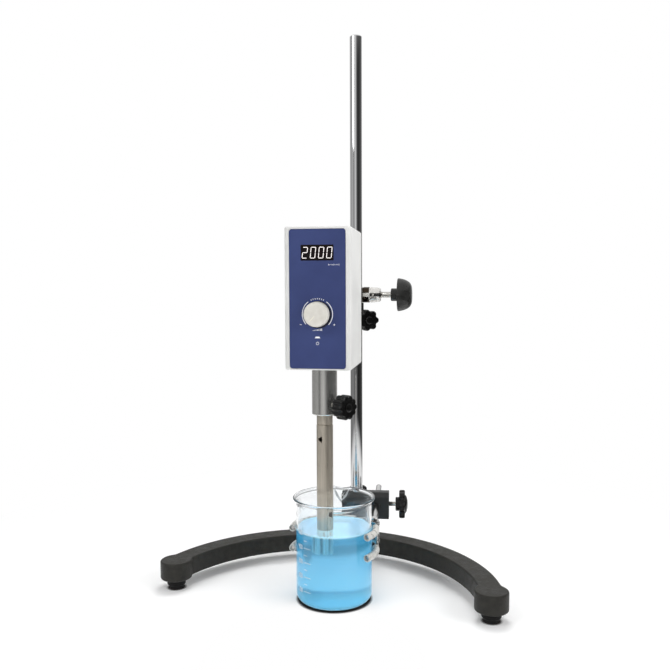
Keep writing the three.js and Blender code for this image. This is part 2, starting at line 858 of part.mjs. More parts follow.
function clampBoss() {
  const grooveEnd = bossGrooveStart + bossGrooveWidth;
  const profile = [[0, -overrun], [bossRadius, -overrun], [bossRadius, bossGrooveStart]];
  profile.push([bossRadius - bossGrooveDepth, bossGrooveStart], [bossRadius - bossGrooveDepth, grooveEnd]);
  profile.push([bossRadius, grooveEnd], [bossTipRadius, bossLength - columnChamfer]);
  profile.push([bossTipRadius - columnChamfer, bossLength], [0, bossLength]);
  return aimed(revolve(profile), alongX, clampBlockRight, 0, 0);
}

function clampBody() {
  const width = clampBlockRight + clampBlockLeft;
  const middle = (clampBlockRight - clampBlockLeft) / 2;
  const half = clampBlockHeight / 2;
  const outline = rectangle(width, clampBlockDepth, clampBlockEdge);
  const block = moved(plate(outline, -half, half, clampBlockEdge / 2),
    middle, 0, 0);
  const columnBore = rod(columnRadius + gap, -half - overrun, half + overrun);
  const rodBore = aimed(rod(supportRodRadius + gap, -clampBlockDepth, clampBlockDepth), alongY,
    -rodSpacing, 0, 0);
  const domeBore = aimed(rod(domeScrewRadius + gap, 0, bossEnd + overrun, smallSides), alongX);
  const knobBore = aimed(rod(knobScrewRadius + gap, rodSpacing, clampBlockLeft + overrun, smallSides),
    againstX);
  const slot = box(bossEnd - bossSlotDepth, bossEnd + overrun, -bossRadius - overrun, bossRadius + overrun,
    -bossSlotWidth / 2, bossSlotWidth / 2);
  return cut(join(block, clampBoss()), columnBore, rodBore, domeBore, knobBore, slot);
}

function domeKnob() {
  const arc = [];
  for (let step = 0; step < domeSteps; step += 1) {
    const angle = (step / domeSteps) * 90 * rad;
    const bulge = (1 - Math.sin(angle) ** domeFullness) ** domePower;
    arc.push([domeRadius * bulge, domeRim + (domeHeight - domeRim) * Math.sin(angle)]);
  }
  arc.push([0, domeHeight]);
  const seat = domeScrewRadius + gap;
  const seatTop = domeSeatDepth - domeHubLength;
  const profile = [[0, seatTop], [seat, seatTop], [seat, -domeHubLength]];
  profile.push([domeHubRadius, -domeHubLength], [domeHubRadius, 0], [domeRadius - domeEdge, 0], ...arc);
  return revolve(profile);
}

function addHeadClamp(parent) {
  piece(parent, 'clamp_body', clampBody(), chrome);
  const screwEnd = domeHubStart + domeSeatDepth - gap;
  const domeScrew = chamferedRod(domeScrewRadius, columnRadius + gap, screwEnd, columnChamfer, smallSides);
  piece(parent, 'dome_knob', aimed(domeKnob(), alongX, domeStart, 0, 0), satinPlastic);
  piece(parent, 'dome_knob_screw', aimed(domeScrew, alongX), polishedSteel);
  addKnob(parent, 'rod_clamp_knob', starKnob, againstX, clampBlockLeft + rodKnobStandOff,
    rodSpacing + supportRodRadius + gap, 0, 0, 0);
}

// Head housing

// Side view of the housing in depth and height, as an outline of the given inset
function housingSide(inset) {
  const front = inset - housingFront;
  const rear = housingRear - inset;
  const bottom = housingBottom + inset;
  const top = housingTop - inset;
  const lip = Math.max(housingLipRound - inset, 0);
  const round = housingRearRound - inset / 2;
  const outline = new THREE.Shape();
  outline.moveTo(front + lip, bottom);
  outline.lineTo(rear - round, bottom);
  outline.quadraticCurveTo(rear, bottom, rear, bottom + round);
  outline.lineTo(rear, top - housingRearDrop - round);
  outline.quadraticCurveTo(rear, top - housingRearDrop, rear - round, top - housingRearDrop);
  outline.lineTo(front + lip, top);
  if (lip) outline.quadraticCurveTo(front, top, front, top - lip);
  outline.lineTo(front, bottom + lip);
  if (lip) outline.quadraticCurveTo(front, bottom, front + lip, bottom);
  return outline;
}

function housingForm(inset) {
  const half = housingWidth / 2 - inset;
  const front = inset - housingFront;
  const rear = housingRear - inset;
  const frontRound = Math.max(housingFrontRound - inset, housingLipRound / 2);
  const rearRound = housingRearRound - inset;
  const side = plate(housingSide(inset), -half, half);
  // depth, height and width of the outline become Y, Z and X
  side.applyMatrix4(new THREE.Matrix4().makeBasis(alongY, upward, alongX));
  const plan = new THREE.Shape();
  plan.moveTo(frontRound - half, front);
  plan.lineTo(half - frontRound, front);
  plan.absarc(half - frontRound, front + frontRound, frontRound, -90 * rad, 0);
  plan.lineTo(half, rear - rearRound);
  plan.absarc(half - rearRound, rear - rearRound, rearRound, 0, 90 * rad);
  plan.lineTo(rearRound - half, rear);
  plan.absarc(rearRound - half, rear - rearRound, rearRound, 90 * rad, 180 * rad);
  plan.lineTo(-half, front + frontRound);
  plan.absarc(frontRound - half, front + frontRound, frontRound, 180 * rad, 270 * rad);
  return common(side, plate(plan, housingBottom - overrun, housingTop + overrun));
}

// A slab that covers everything in front of, or behind, a depth
function slab(front, back) {
  return box(-housingWidth, housingWidth, front, back, housingBottom - overrun, housingTop + overrun);
}

// A plate on the front wall, between two depths, centred at a height
function frontPlate(width, height, corner, middle, front, back) {
  const flat = plate(rectangle(width, height, corner), -back, -front);
  return aimed(flat, againstY, 0, 0, middle);
}

function housingShell() {
  const front = common(housingForm(0), slab(-housingDepth, coverJoint - gap));
  const hollow = common(housingForm(housingWall), slab(-housingDepth, housingDepth));
  const recess = frontPlate(panelWidth + 2 * gap, panelHeight + 2 * gap, panelRound + gap, panelMiddle,
    -housingDepth, panelBack + gap);
  const windowHole = frontPlate(windowWidth - 2 * windowLip, windowHeight - 2 * windowLip, 0, windowCentre,
    -housingDepth, frontWallInside + overrun);
  const spindleHole = aimed(rod(encoderBushRadius + gap, 0, housingDepth / 2, smallSides), againstY,
    0, 0, speedKnobHeight);
  const sleeveHole = rod(sleeveRadius + gap, housingBottom - overrun,
    housingBottom + housingWall + overrun);
  return cut(front, hollow, recess, windowHole, spindleHole, sleeveHole);
}

function frontPanel() {
  const panel = frontPlate(panelWidth, panelHeight, panelRound, panelMiddle, panelFront, panelBack);
  const windowHole = frontPlate(windowWidth + 2 * gap, windowHeight + 2 * gap, 0, windowCentre,
    -housingDepth, housingDepth);
  const spindleHole = aimed(rod(encoderBushRadius + gap, 0, housingDepth, smallSides), againstY,
    0, 0, speedKnobHeight);
  return cut(panel, windowHole, spindleHole);
}

function displayWindow() {
  return frontPlate(windowWidth, windowHeight, 0, windowCentre, panelBack - windowThickness, panelBack);
}

function displayModule() {
  const face = frontWallInside + gap;
  const body = frontPlate(windowWidth + 2 * displayMargin, windowHeight + 2 * displayMargin, 0,
    windowCentre, face, face + displayDepth);
  const nose = frontPlate(windowWidth - 2 * windowLip - 2 * gap, windowHeight - 2 * windowLip - 2 * gap, 0,
    windowCentre, panelBack + 2 * gap, face + overrun);
  return join(body, nose);
}

function encoderBody() {
  const face = frontWallInside + gap;
  const body = frontPlate(encoderWidth, encoderWidth, 0, speedKnobHeight, face, face + encoderDepth);
  const bush = aimed(rod(encoderBushRadius, -face - overrun, housingFront, smallSides), againstY,
    0, 0, speedKnobHeight);
  const boreEnd = encoderFloor - face - encoderDepth;
  const bore = aimed(rod(spindleRadius + gap, boreEnd, housingDepth, smallSides), againstY,
    0, 0, speedKnobHeight);
  return cut(join(body, bush), bore);
}

// Rear cover, with the vents, the pillars of the board and the inlet's opening

function boardCorners() {
  const x = boardWidth / 2 - boardPillarInset;
  const low = boardBottom + boardPillarInset;
  const high = boardTop - boardPillarInset;
  return [[-x, low], [x, low], [-x, high], [x, high]];
}

function rearCover() {
  const shell = cut(common(housingForm(0), slab(coverJoint, housingDepth)), housingForm(housingWall));
  const pillar = aimed(rod(boardPillarRadius, 0, coverInside + gap - boardBack, smallSides), alongY);
  const pillars = boardCorners().map(([x, z]) => moved(pillar, x, boardBack + gap, z));
  const inletHole = box(-inletWidth / 2 - gap, inletWidth / 2 + gap, coverJoint, housingDepth,
    inletCentre - inletHeight / 2 - gap, inletCentre + inletHeight / 2 + gap);
  const vents = [];
  for (let row = 0; row < ventSlotCount; row += 1) {
    const bottom = ventSlotStart + row * ventSlotPitch;
    const slot = rectangle(ventSlotWidth, ventSlotHeight);
    vents.push(aimed(plate(slot, -housingDepth, -coverJoint - rearCoverDepth / 2), againstY,
      0, 0, bottom + ventSlotHeight / 2));
  }
  return cut(join(shell, ...pillars), inletHole, ...vents);
}

function controlBoard() {
  const board = box(-boardWidth / 2, boardWidth / 2, boardFront, boardBack, boardBottom, boardTop);
  const capacitor = aimed(rod(capacitorRadius, 0, capacitorHeight, smallSides), againstY);
  const capacitors = [-1, 1].map((side) => moved(capacitor, side * boardWidth / 3, boardFront + gap,
    boardTop - capacitorRadius * 3));
  const sink = box(-heatSinkWidth / 2, heatSinkWidth / 2, boardFront - heatSinkDepth, boardFront + gap,
    boardTop - capacitorRadius - heatSinkHeight, boardTop - capacitorRadius);
  return join(board, ...capacitors, sink);
}

function powerInlet() {
  const half = inletWidth / 2;
  const bottom = inletCentre - inletHeight / 2;
  const top = inletCentre + inletHeight / 2;
  const outer = housingRear + gap;
  const body = box(-half, half, housingRear - inletDepth, outer + overrun / 2, bottom, top);
  const flangeHalf = half + inletFlangeMargin;
  const flange = box(-flangeHalf, flangeHalf, outer, outer + inletFlangeThickness,
    bottom - inletFlangeMargin, top + inletFlangeMargin);
  const pocketFloor = housingRear - inletDepth + housingWall;
  const pocket = box(inletPocketMargin - half, half - inletPocketMargin, pocketFloor, housingDepth,
    bottom + inletPocketMargin, top - inletPocketMargin);
  const pins = [-1, 0, 1].map((side) => box(side * inletPinSpacing - inletPinWidth / 2,
    side * inletPinSpacing + inletPinWidth / 2, pocketFloor - gap, housingRear,
    inletCentre - inletPinHeight / 2, inletCentre + inletPinHeight / 2));
  return join(cut(join(body, flange), pocket), ...pins);
}

function rearFlange() {
  const back = housingRear + gap + rearFlangeThickness;
  const outline = rectangle(rearFlangeWidth, rearFlangeWidth, rearFlangeRound);
  const square = plate(outline, -back, -housingRear - gap, rearFlangeEdge);
  const bore = rod(supportRodRadius + gap, -back - overrun, overrun);
  return aimed(cut(square, bore), againstY, 0, 0, clampHeight);
}

function supportRod() {
  const length = headReach + supportRodEnd;
  const straight = chamferedRod(supportRodRadius, housingRear + gap, length, columnChamfer);
  return aimed(straight, alongY, 0, 0, clampHeight);
}

// Tool sleeve on the housing floor, and the motor that stands on it

function toolSleeve() {
  const flangeTop = flangeBottom + sleeveFlangeThickness;
  const shoulder = toolTop + gap;
  const upperBore = couplingRadius + runningGap;
  const lowerBore = toolNeckRadius + gap;
  const profile = [[lowerBore, sleeveBottom], [sleeveRadius - sleeveChamfer, sleeveBottom]];
  profile.push([sleeveRadius, sleeveBottom + sleeveChamfer], [sleeveRadius, flangeBottom]);
  profile.push([sleeveFlangeRadius, flangeBottom], [sleeveFlangeRadius, flangeTop], [upperBore, flangeTop]);
  profile.push([upperBore, shoulder], [lowerBore, shoulder], [lowerBore, sleeveBottom]);
  const screwBore = aimed(rod(knobScrewRadius + gap, 0, sleeveRadius + overrun, smallSides),
    azimuth(sleeveKnobAzimuth), 0, 0, sleeveKnobHeight);
  return cut(revolve(profile), screwBore);
}

function motorCan() {
  const floor = motorBottom + motorFloor;
  const shaftHole = motorShaftRadius + motorShaftClear;
  const seat = bearingRadius + gap;
  const wall = motorRadius - motorWall;
  const seatFloor = lowerBearing - gap;
  const profile = [[shaftHole, motorBottom], [motorRadius - motorWall / 2, motorBottom]];
  profile.push([motorRadius, motorBottom + motorWall / 2], [motorRadius, motorTop], [wall, motorTop]);
  profile.push([wall, floor], [seat, floor], [seat, seatFloor]);
  profile.push([shaftHole, seatFloor], [shaftHole, motorBottom]);
  return revolve(profile, innerSides);
}

function motorEnd() {
  const top = endBottom + motorEndHeight;
  const seat = bearingRadius + gap;
  const shaftHole = motorShaftRadius + motorShaftClear;
  const seatTop = upperBearing + bearingHeight + gap;
  const profile = [[seat, endBottom], [motorRadius, endBottom], [motorRadius, top - motorWall / 2]];
  profile.push([motorRadius - motorWall / 2, top], [shaftHole, top], [shaftHole, seatTop]);
  profile.push([seat, seatTop], [seat, endBottom]);
  const vent = rod(motorVentRadius, endBottom - overrun, top + overrun, fingerSides);
  const vents = [];
  for (let at = 0; at < motorVents; at += 1) {
    vents.push(spun(moved(vent, motorVentCircle, 0, 0), (at / motorVents) * 360 * rad));
  }
  return cut(revolve(profile, innerSides), ...vents);
}

function bearing(bottom) {
  const inner = motorShaftRadius + gap;
  const middle = (inner + bearingRadius) / 2;
  const top = bottom + bearingHeight;
  const profile = [[inner, bottom], [bearingRadius, bottom], [bearingRadius, top]];
  profile.push([middle + bearingGroove, top], [middle + bearingGroove, top - bearingGroove]);
  profile.push([middle - bearingGroove, top - bearingGroove], [middle - bearingGroove, top]);
  profile.push([inner, top], [inner, bottom]);
  return revolve(profile, smallSides);
}

// A stack with slots for the windings, and the commutator above it
function armature() {
  const outline = [];
  const slotRadius = armatureRadius * armatureCoreShare;
  for (let slot = 0; slot < armatureSlots; slot += 1) {
    const pitch = 360 / armatureSlots;
    const start = slot * pitch;
    const toothEnd = start + pitch * (1 - armatureSlotShare);
    outline.push([armatureRadius, start], [armatureRadius, (start + toothEnd) / 2]);
    outline.push([armatureRadius, toothEnd]);
    outline.push([slotRadius, toothEnd + pitch * armatureSlotShare * armatureCornerShare]);
    outline.push([slotRadius, start + pitch * (1 - armatureSlotShare * armatureCornerShare)]);
  }
  const points = outline.map(([radius, angle]) => {
    const direction = azimuth(angle).multiplyScalar(radius);
    return new THREE.Vector2(direction.x, direction.y);
  });
  const stack = plate(new THREE.Shape(points), armatureBottom, armatureTop);
  const windings = rod(slotRadius, armatureBottom - armatureStart / 2, armatureTop + gap, smallSides);
  const commutator = rod(commutatorRadius, armatureTop, commutatorTop, smallSides);
  const bore = rod(motorShaftRadius + gap, motorBottom, motorTop, smallSides);
  return cut(join(stack, windings, commutator), bore);
}

function brush(side) {
  const inner = commutatorRadius + gap;
  const outer = motorRadius - motorWall - 2 * gap;
  const half = brushWidth / 2;
  const bottom = commutatorBottom + (commutatorHeight - brushWidth) / 2;
  const start = commutatorRadius / 2;
  const ends = [side * start, side * outer];
  const block = box(Math.min(...ends), Math.max(...ends), -half, half, bottom, bottom + brushWidth);
  return cut(block, rod(inner, motorBottom, motorTop));
}

function motorShaft() {
  const start = shaftMeeting + gap;
  return chamferedRod(motorShaftRadius, start, shaftTop, motorShaftRadius / 8, smallSides);
}

function coolingFan() {
  const bottom = endBottom + motorEndHeight + fanLift;
  const top = bottom + fanHeight;
  const disc = rod(fanRadius, bottom, bottom + fanDisc, innerSides);
  const hub = rod(fanHubRadius, bottom, top, smallSides);
  const half = fanBladeThickness / 2;
  const blade = box(fanHubRadius / 2, fanRadius, -half, half, bottom, top);
  const blades = [];
  for (let at = 0; at < fanBlades; at += 1) {
    blades.push(spun(blade, (at / fanBlades) * 360 * rad));
  }
  const bore = rod(motorShaftRadius + gap, bottom - overrun, top + overrun, smallSides);
  return cut(join(disc, hub, ...blades), bore);
}

function shaftCoupling() {
  const lower = toolShaftRadius + gap;
  const upper = motorShaftRadius + gap;
  const profile = [[lower, couplingBottom], [couplingRadius, couplingBottom]];
  profile.push([couplingRadius, couplingTop], [upper, couplingTop], [upper, shaftMeeting]);
  profile.push([lower, shaftMeeting], [lower, couplingBottom]);
  return revolve(profile, smallSides);
}

// Dispersing tool: tube, slotted stator, shaft, bushes and rotor

function toolTube() {
  const groove = toolNeckRadius - toolGroove;
  const profile = [[toolBoreRadius, statorTop + gap], [toolTubeRadius, statorTop + gap]];
  profile.push([toolTubeRadius, toolJoint], [groove, toolJoint], [groove, toolJoint + toolGrooveHeight]);
  profile.push([toolNeckRadius, toolJoint + toolGrooveHeight], [toolNeckRadius, toolTop]);
  profile.push([toolBoreRadius, toolTop], [toolBoreRadius, statorTop + gap]);
  const vents = [[upperVentAzimuth, upperVentHeight], [lowerVentAzimuth, lowerVentHeight]].map(
    ([angle, height]) => aimed(rod(ventRadius, -2 * toolTubeRadius, 2 * toolTubeRadius, smallSides),
      azimuth(angle), 0, 0, height));
  return cut(revolve(profile, toolSides), ...vents);
}

function statorHead() {
  const spigot = toolBoreRadius - gap;
  const top = statorTop + statorSpigot;
  const profile = [[statorBoreRadius, toolBottom], [toolTubeRadius, toolBottom]];
  profile.push([toolTubeRadius, statorTop], [spigot, statorTop], [spigot, top], [statorSpigotBore, top]);
  profile.push([statorSpigotBore, chamberTop], [statorBoreRadius, chamberTop]);
  profile.push([statorBoreRadius, toolBottom]);
  const half = statorSlotWidth / 2;
  const slot = box(toolBoreRadius / 2, toolTubeRadius + overrun, -half, half, toolBottom - overrun,
    toolBottom + statorSlotHeight);
  const slots = [];
  for (let at = 0; at < statorSlots; at += 1) {
    slots.push(spun(slot, (statorSlotAzimuth + (at / statorSlots) * 360) * rad));
  }
  return cut(revolve(profile, toolSides), ...slots);
}

function rotorHead() {
  const hub = rod(rotorHubRadius, rotorTop - rotorSeat - overrun, rotorTop, smallSides);
  const half = rotorBladeThickness / 2;
  const tooth = box(rotorHubRadius / 2, rotorRadius, -half, half, rotorBottom, rotorTop);
  const teeth = [];
  for (let at = 0; at < rotorTeeth; at += 1) {
    teeth.push(spun(tooth, (at / rotorTeeth) * 360 * rad));
  }
  const round = rod(rotorRadius, rotorBottom - overrun, rotorTop + overrun, toolSides);
  const seat = rod(toolShaftRadius + gap, rotorTop - rotorSeat, rotorTop + overrun, smallSides);
  return cut(common(join(hub, ...teeth), round), seat);
}

function toolShaft() {
  return rod(toolShaftRadius, rotorTop - rotorSeat + gap, shaftMeeting - gap, smallSides);
}

function lowerBush() {
  const bottom = statorTop + statorSpigot - bushHeight;
  return ring(toolShaftRadius + gap, statorSpigotBore - gap, bottom, bottom + bushHeight, smallSides);
}

function upperBush() {
  const bottom = toolTop - upperBushDrop;
  return ring(toolShaftRadius + gap, toolBoreRadius - gap, bottom, bottom + bushHeight, smallSides);
}

// Speed knob and the spindle that it turns and pushes

function speedKnob() {
  const outline = lobedOutline(speedKnobRadius, speedKnobFlute, speedKnobFlutes, pointsPerFlute);
  const grip = plate(outline, 0, speedKnobDepth, speedKnobEdge);
  const seat = rod(spindleRadius + gap, -overrun, spindleSeat, smallSides);
  return aimed(cut(grip, seat), againstY, 0, knobBack, speedKnobHeight);
}

function speedSpindle() {
  const inner = encoderFloor + speedKnobTravel + gap - frontWallInside - gap - encoderDepth;
  const outer = spindleSeat - gap - knobBack;
  return aimed(chamferedRod(spindleRadius, inner, outer, spindleRadius / 8, smallSides), againstY,
    0, 0, speedKnobHeight);
}

function addHead(parent) {
  piece(parent, 'housing_shell', housingShell(), whitePlastic);
  piece(parent, 'front_panel', frontPanel(), bluePanel);
  piece(parent, 'display_window', displayWindow(), darkWindow);
  piece(parent, 'display_module', displayModule(), satinPlastic);
  piece(parent, 'speed_encoder', encoderBody(), motorSteel);
  piece(parent, 'rear_cover', rearCover(), whitePlastic);
  piece(parent, 'control_board', controlBoard(), boardGreen);
  piece(parent, 'power_inlet', powerInlet(), blackPlastic);
  piece(parent, 'rod_flange', rearFlange(), brushedSteel);
  piece(parent, 'support_rod', supportRod(), polishedSteel);
  piece(parent, 'tool_sleeve', toolSleeve(), brushedSteel);
  piece(parent, 'motor_can', motorCan(), motorSteel);
  piece(parent, 'motor_end', motorEnd(), motorSteel);
  piece(parent, 'lower_bearing', bearing(lowerBearing), polishedSteel);
  piece(parent, 'upper_bearing', bearing(upperBearing), polishedSteel);
  piece(parent, 'brush_left', brush(-1), graphite);
  piece(parent, 'brush_right', brush(1), graphite);
  piece(parent, 'tool_tube', toolTube(), toolSteel);
  piece(parent, 'stator_head', statorHead(), toolSteel);
  piece(parent, 'upper_bush', upperBush(), paleBush);
  piece(parent, 'lower_bush', lowerBush(), paleBush);
  addKnob(parent, 'sleeve_knob', sleeveKnob, azimuth(sleeveKnobAzimuth), sleeveRadius + sleeveKnobStandOff,
    toolNeckRadius + gap, 0, 0, sleeveKnobHeight);
}

function addDrive(parent) {
  piece(parent, 'motor_shaft', motorShaft(), polishedSteel);
  piece(parent, 'armature', armature(), copper);
  piece(parent, 'cooling_fan', coolingFan(), blackPlastic);
  piece(parent, 'shaft_coupling', shaftCoupling(), brass);
  piece(parent, 'tool_shaft', toolShaft(), polishedSteel);
  piece(parent, 'rotor_head', rotorHead(), toolSteel);
}

function addSpeedControl(parent) {
  piece(parent, 'speed_spindle', speedSpindle(), polishedSteel);
  piece(parent, 'speed_knob', speedKnob(), knobPlastic);
}

// Beaker with a pouring lip, and the liquid in it

function quarter(centreRadius, centreHeight, radius, from, to, steps) {
  const points = [];
  for (let step = 0; step <= steps; step += 1) {
    const angle = (from + ((to - from) * step) / steps) * rad;
    points.push([centreRadius + radius * Math.cos(angle), centreHeight + radius * Math.sin(angle)]);
  }
  return points;
}

function beakerProfile() {
  const rimBottom = beakerHeight - beakerRimHeight;
  const rimRadius = beakerRadius + beakerRimReach - beakerRimBead;
  const bead = beakerHeight - beakerRimBead;
  const corner = quarter(beakerRadius - beakerCorner, beakerCorner, beakerCorner, -90, 0,
    beakerCornerSteps);
  const flare = [[beakerRadius, lipStart], [beakerRadius, rimBottom]];
  flare.push([rimRadius - beakerRimBead, bead - beakerRimBead]);
  const rim = quarter(rimRadius, bead, beakerRimBead, 0, 180, rimSteps);
  const inside = [[beakerInner, rimBottom - beakerRimBead], [beakerInner, lipStart]];
  inside.push(...quarter(beakerInner - innerCorner, beakerFloor + innerCorner, innerCorner, 0, -90,
    beakerCornerSteps));
  return [[0, 0], ...corner, ...flare, ...rim, ...inside, [0, beakerFloor]];
}

function beaker() {
  const geometry = revolve(beakerProfile(), fineSides);
  const position = geometry.getAttribute('position');
  for (let at = 0; at < position.count; at += 1) {
    const x = position.getX(at);
    const y = position.getY(at);
    const rise = (position.getZ(at) - lipStart) / spoutDepth;
    if (rise <= 0) continue;
    const away = (Math.atan2(y, x) / rad - spoutAzimuth) / spoutHalfAngle;
    const swell = Math.exp(-away * away) * Math.min(rise, 1) ** 2;
    const scale = 1 + (spoutReach * swell) / Math.hypot(x, y);
    position.setXYZ(at, x * scale, y * scale, position.getZ(at) - spoutDip * swell);
  }
  return geometry;
}

// The liquid fills the beaker to its level, round the tool
function liquid(toolX, toolY) {
  const radius = beakerInner - gap;
  const corner = innerCorner - gap;
  const floor = beakerFloor + gap;
  const edge = quarter(radius - corner, floor + corner, corner, -90, 0, beakerCornerSteps);
  const profile = [[0, floor], ...edge, [radius, liquidLevel], [0, liquidLevel]];
  const toolSpace = rod(toolTubeRadius + gap, toolBottom - gap, liquidLevel + overrun);
  return cut(revolve(profile, fineSides), moved(toolSpace, toolX, toolY, 0));
}

function addBeaker(parent) {
  piece(parent, 'beaker', beaker(), glass);
  piece(parent, 'liquid', liquid(-rodSpacing - beakerX, -headReach - beakerY), blueLiquid);
}

// Beaker holder: two jaws of two fingers each, on a rod in the bosshead

// The path of a finger: it leaves its bar and settles on its track round the beaker
class FingerPath extends THREE.Curve {
  constructor(start, end, height, startTrack) {
    super();
    Object.assign(this, { start, end, height, startTrack });
  }

  getPoint(share, target = new THREE.Vector3()) {
    const turned = this.start + (this.end - this.start) * share;
    const settled = Math.min(Math.abs(turned - this.start) / fingerBlendAngle, 1);
    const ease = settled * settled * (3 - 2 * settled);
    const track = this.startTrack + (fingerTrack - this.startTrack) * ease;
    const x = beakerInHolder.x + track * Math.cos(turned * rad);
    const y = beakerInHolder.y + track * Math.sin(turned * rad);
    return target.set(x, y, this.height);
  }
}

function barPlace(side) {
  const direction = azimuth(hubAzimuth + side * hubBarAngle).multiplyScalar(barTrack);
  return [beakerInHolder.x + direction.x, beakerInHolder.y + direction.y];
}

function finger(side, end, height) {
  const steps = Math.ceil(Math.abs(end - hubAzimuth) / fingerStepAngle);
  return wire(new FingerPath(hubAzimuth + side * hubBarAngle, end, height, barTrack), fingerRadius, steps,
    fingerSides);
}

// A flat link with round ends, between two places at the same height
function link([ax, ay], [bx, by], radius, endRadius, bottom, top) {
  const length = Math.hypot(bx - ax, by - ay);
  const lean = Math.acos((radius - endRadius) / length);
  const outline = new THREE.Shape();
  outline.absarc(0, 0, radius, lean, -lean, false);
  outline.absarc(length, 0, endRadius, -lean, lean, false);
  const flat = spun(plate(outline, bottom, top, 0, wireSides / 2), Math.atan2(by - ay, bx - ax));
  return moved(flat, ax, ay, 0);
}

function bar(side) {
  const [x, y] = barPlace(side);
  return moved(rod(fingerRadius + gap, lowerFingerHeight - fingerRadius, upperFingerHeight + fingerRadius,
    smallSides), x, y, 0);
}

function fixedJaw() {
  const hub = moved(chamferedRod(hubRadius, hubBottom, hubTop, hubChamfer, smallSides), hubX, hubY, 0);
  const arm = link([hubX, hubY], barPlace(1), hubRadius - armInset, linkEndRadius, hubBottom + armInset,
    hubTop - armInset);
  const heights = [upperFingerHeight, lowerFingerHeight];
  const fingers = heights.map((height) => finger(1, fixedFingerAzimuth, height));
  const pinHole = rod(pinRadius + gap, hubBottom - overrun, hubTop + overrun, smallSides);
  const pinBore = moved(pinHole, hubX, hubY, 0);
  const rodSeat = aimed(rod(holderRodRadius + gap, pinRadius + pinWall, 3 * hubRadius, smallSides), alongY,
    hubX, hubY, holderRodHeight);
  return cut(join(hub, arm, bar(1), ...fingers), pinBore, rodSeat);
}

function movingJaw() {
  const lowerLug = [hubBottom - gap - lugThickness, hubBottom - gap];
  const upperLug = [hubTop + gap, hubTop + gap + lugThickness];
  const lugs = [lowerLug, upperLug];
  const plates = lugs.map(([bottom, top]) => link([hubX, hubY], barPlace(-1), hubRadius, linkEndRadius,
    bottom, top));
  const [x, y] = barPlace(-1);
  const post = moved(rod(fingerRadius + gap, lowerFingerHeight - fingerRadius, hubTop + gap + lugThickness,
    smallSides), x, y, 0);
  const heights = [upperFingerHeight, lowerFingerHeight];
  const fingers = heights.map((height) => finger(-1, movingFingerAzimuth, height));
  const reach = 3 * lugThickness;
  const pinHole = rod(pinRadius + gap, hubBottom - reach, hubTop + reach, smallSides);
  const pinBore = moved(pinHole, hubX, hubY, 0);
  return cut(join(post, ...plates, ...fingers), pinBore);
}

function jawPin() {
  const bottom = hubBottom - 2 * gap - lugThickness;
  const top = hubTop + 2 * gap + lugThickness;
  const head = rod(pinHeadRadius, top, top + pinHeadHeight, smallSides);
  const foot = rod(pinHeadRadius, bottom - pinHeadHeight, bottom, smallSides);
  return moved(join(rod(pinRadius, bottom - gap, top + gap, smallSides), head, foot), hubX, hubY, 0);
}

function fingerSleeve(start, end, height) {
  const steps = Math.ceil(Math.abs(end - start) / fingerStepAngle);
  const over = Math.sign(end - start);
  const path = (extra) => new FingerPath(start - over * extra, end + over * extra, height, fingerTrack);
  return cut(wire(path(0), fingerSleeveRadius, steps),
    wire(path(sleeveCutAngle), fingerRadius + fingerRoom, steps, fingerSides));
}

function bosshead() {
  const half = bossheadDepth / 2;
  const middle = bossheadBottom + bossheadHeight / 2;
  const high = bossheadHeight / 2;
  const outline = new THREE.Shape();
  outline.moveTo(-half, bossheadEdge - high);
  outline.lineTo(bossheadEdge - half, -high);
  outline.lineTo(half - bossheadEdge, -high);
  outline.lineTo(half, bossheadEdge - high);
  outline.lineTo(half, high - bossheadBevel);
  outline.lineTo(half - bossheadBevel, high);
  outline.lineTo(bossheadBevel - half, high);
  outline.lineTo(-half, high - bossheadBevel);
  const block = plate(outline, -bossheadLeft, bossheadRight, bossheadEdge);
  block.applyMatrix4(new THREE.Matrix4().makeBasis(alongY, upward, alongX)).translate(0, 0, middle);
  const columnBore = rod(columnRadius + gap, bossheadBottom - overrun,
    bossheadBottom + bossheadHeight + overrun);
  const rodBore = aimed(rod(holderRodRadius + gap, -bossheadDepth, bossheadDepth, smallSides), alongY,
    hubX, 0, holderRodHeight);
  const rodScrewBore = aimed(rod(knobScrewRadius + gap, hubX, bossheadRight + overrun, smallSides), alongX,
    0, 0, holderRodHeight);
  const columnScrewBore = aimed(rod(knobScrewRadius + gap, 0, half + overrun, smallSides), alongY,
    0, 0, columnKnobHeight);
  return cut(block, columnBore, rodBore, rodScrewBore, columnScrewBore);
}

function holderRod() {
  const start = hubY + pinRadius + pinWall + gap;
  return aimed(chamferedRod(holderRodRadius, start, holderRodBack, holderRodChamfer, smallSides), alongY,
    hubX, 0, holderRodHeight);
}

function addHolder(parent) {
  piece(parent, 'bosshead', bosshead(), bossheadBlack);
  piece(parent, 'holder_rod', holderRod(), polishedSteel);
  piece(parent, 'fixed_jaw', fixedJaw(), brushedSteel);
  piece(parent, 'moving_jaw', movingJaw(), brushedSteel);
  piece(parent, 'jaw_pin', jawPin(), polishedSteel);
  const heights = { upper: upperFingerHeight, lower: lowerFingerHeight };
  Object.entries(heights).forEach(([level, height]) => {
    piece(parent, `fixed_sleeve_${level}`,
      fingerSleeve(fixedSleeveAzimuth, fixedFingerAzimuth + sleeveOverhangAngle, height), paleSleeve);
    piece(parent, `moving_sleeve_${level}`,
      fingerSleeve(movingSleeveAzimuth, movingFingerAzimuth - sleeveOverhangAngle, height), paleSleeve);
  });
  addKnob(parent, 'holder_rod_knob', wingKnob, alongX, bossheadRight + holderKnobStandOff,
    hubX + holderRodRadius + gap, 0, 0, holderRodHeight);
  addKnob(parent, 'holder_column_knob', wingKnob, alongY, bossheadDepth / 2 + holderKnobStandOff,
    columnRadius + gap, 0, 0, columnKnobHeight);
}

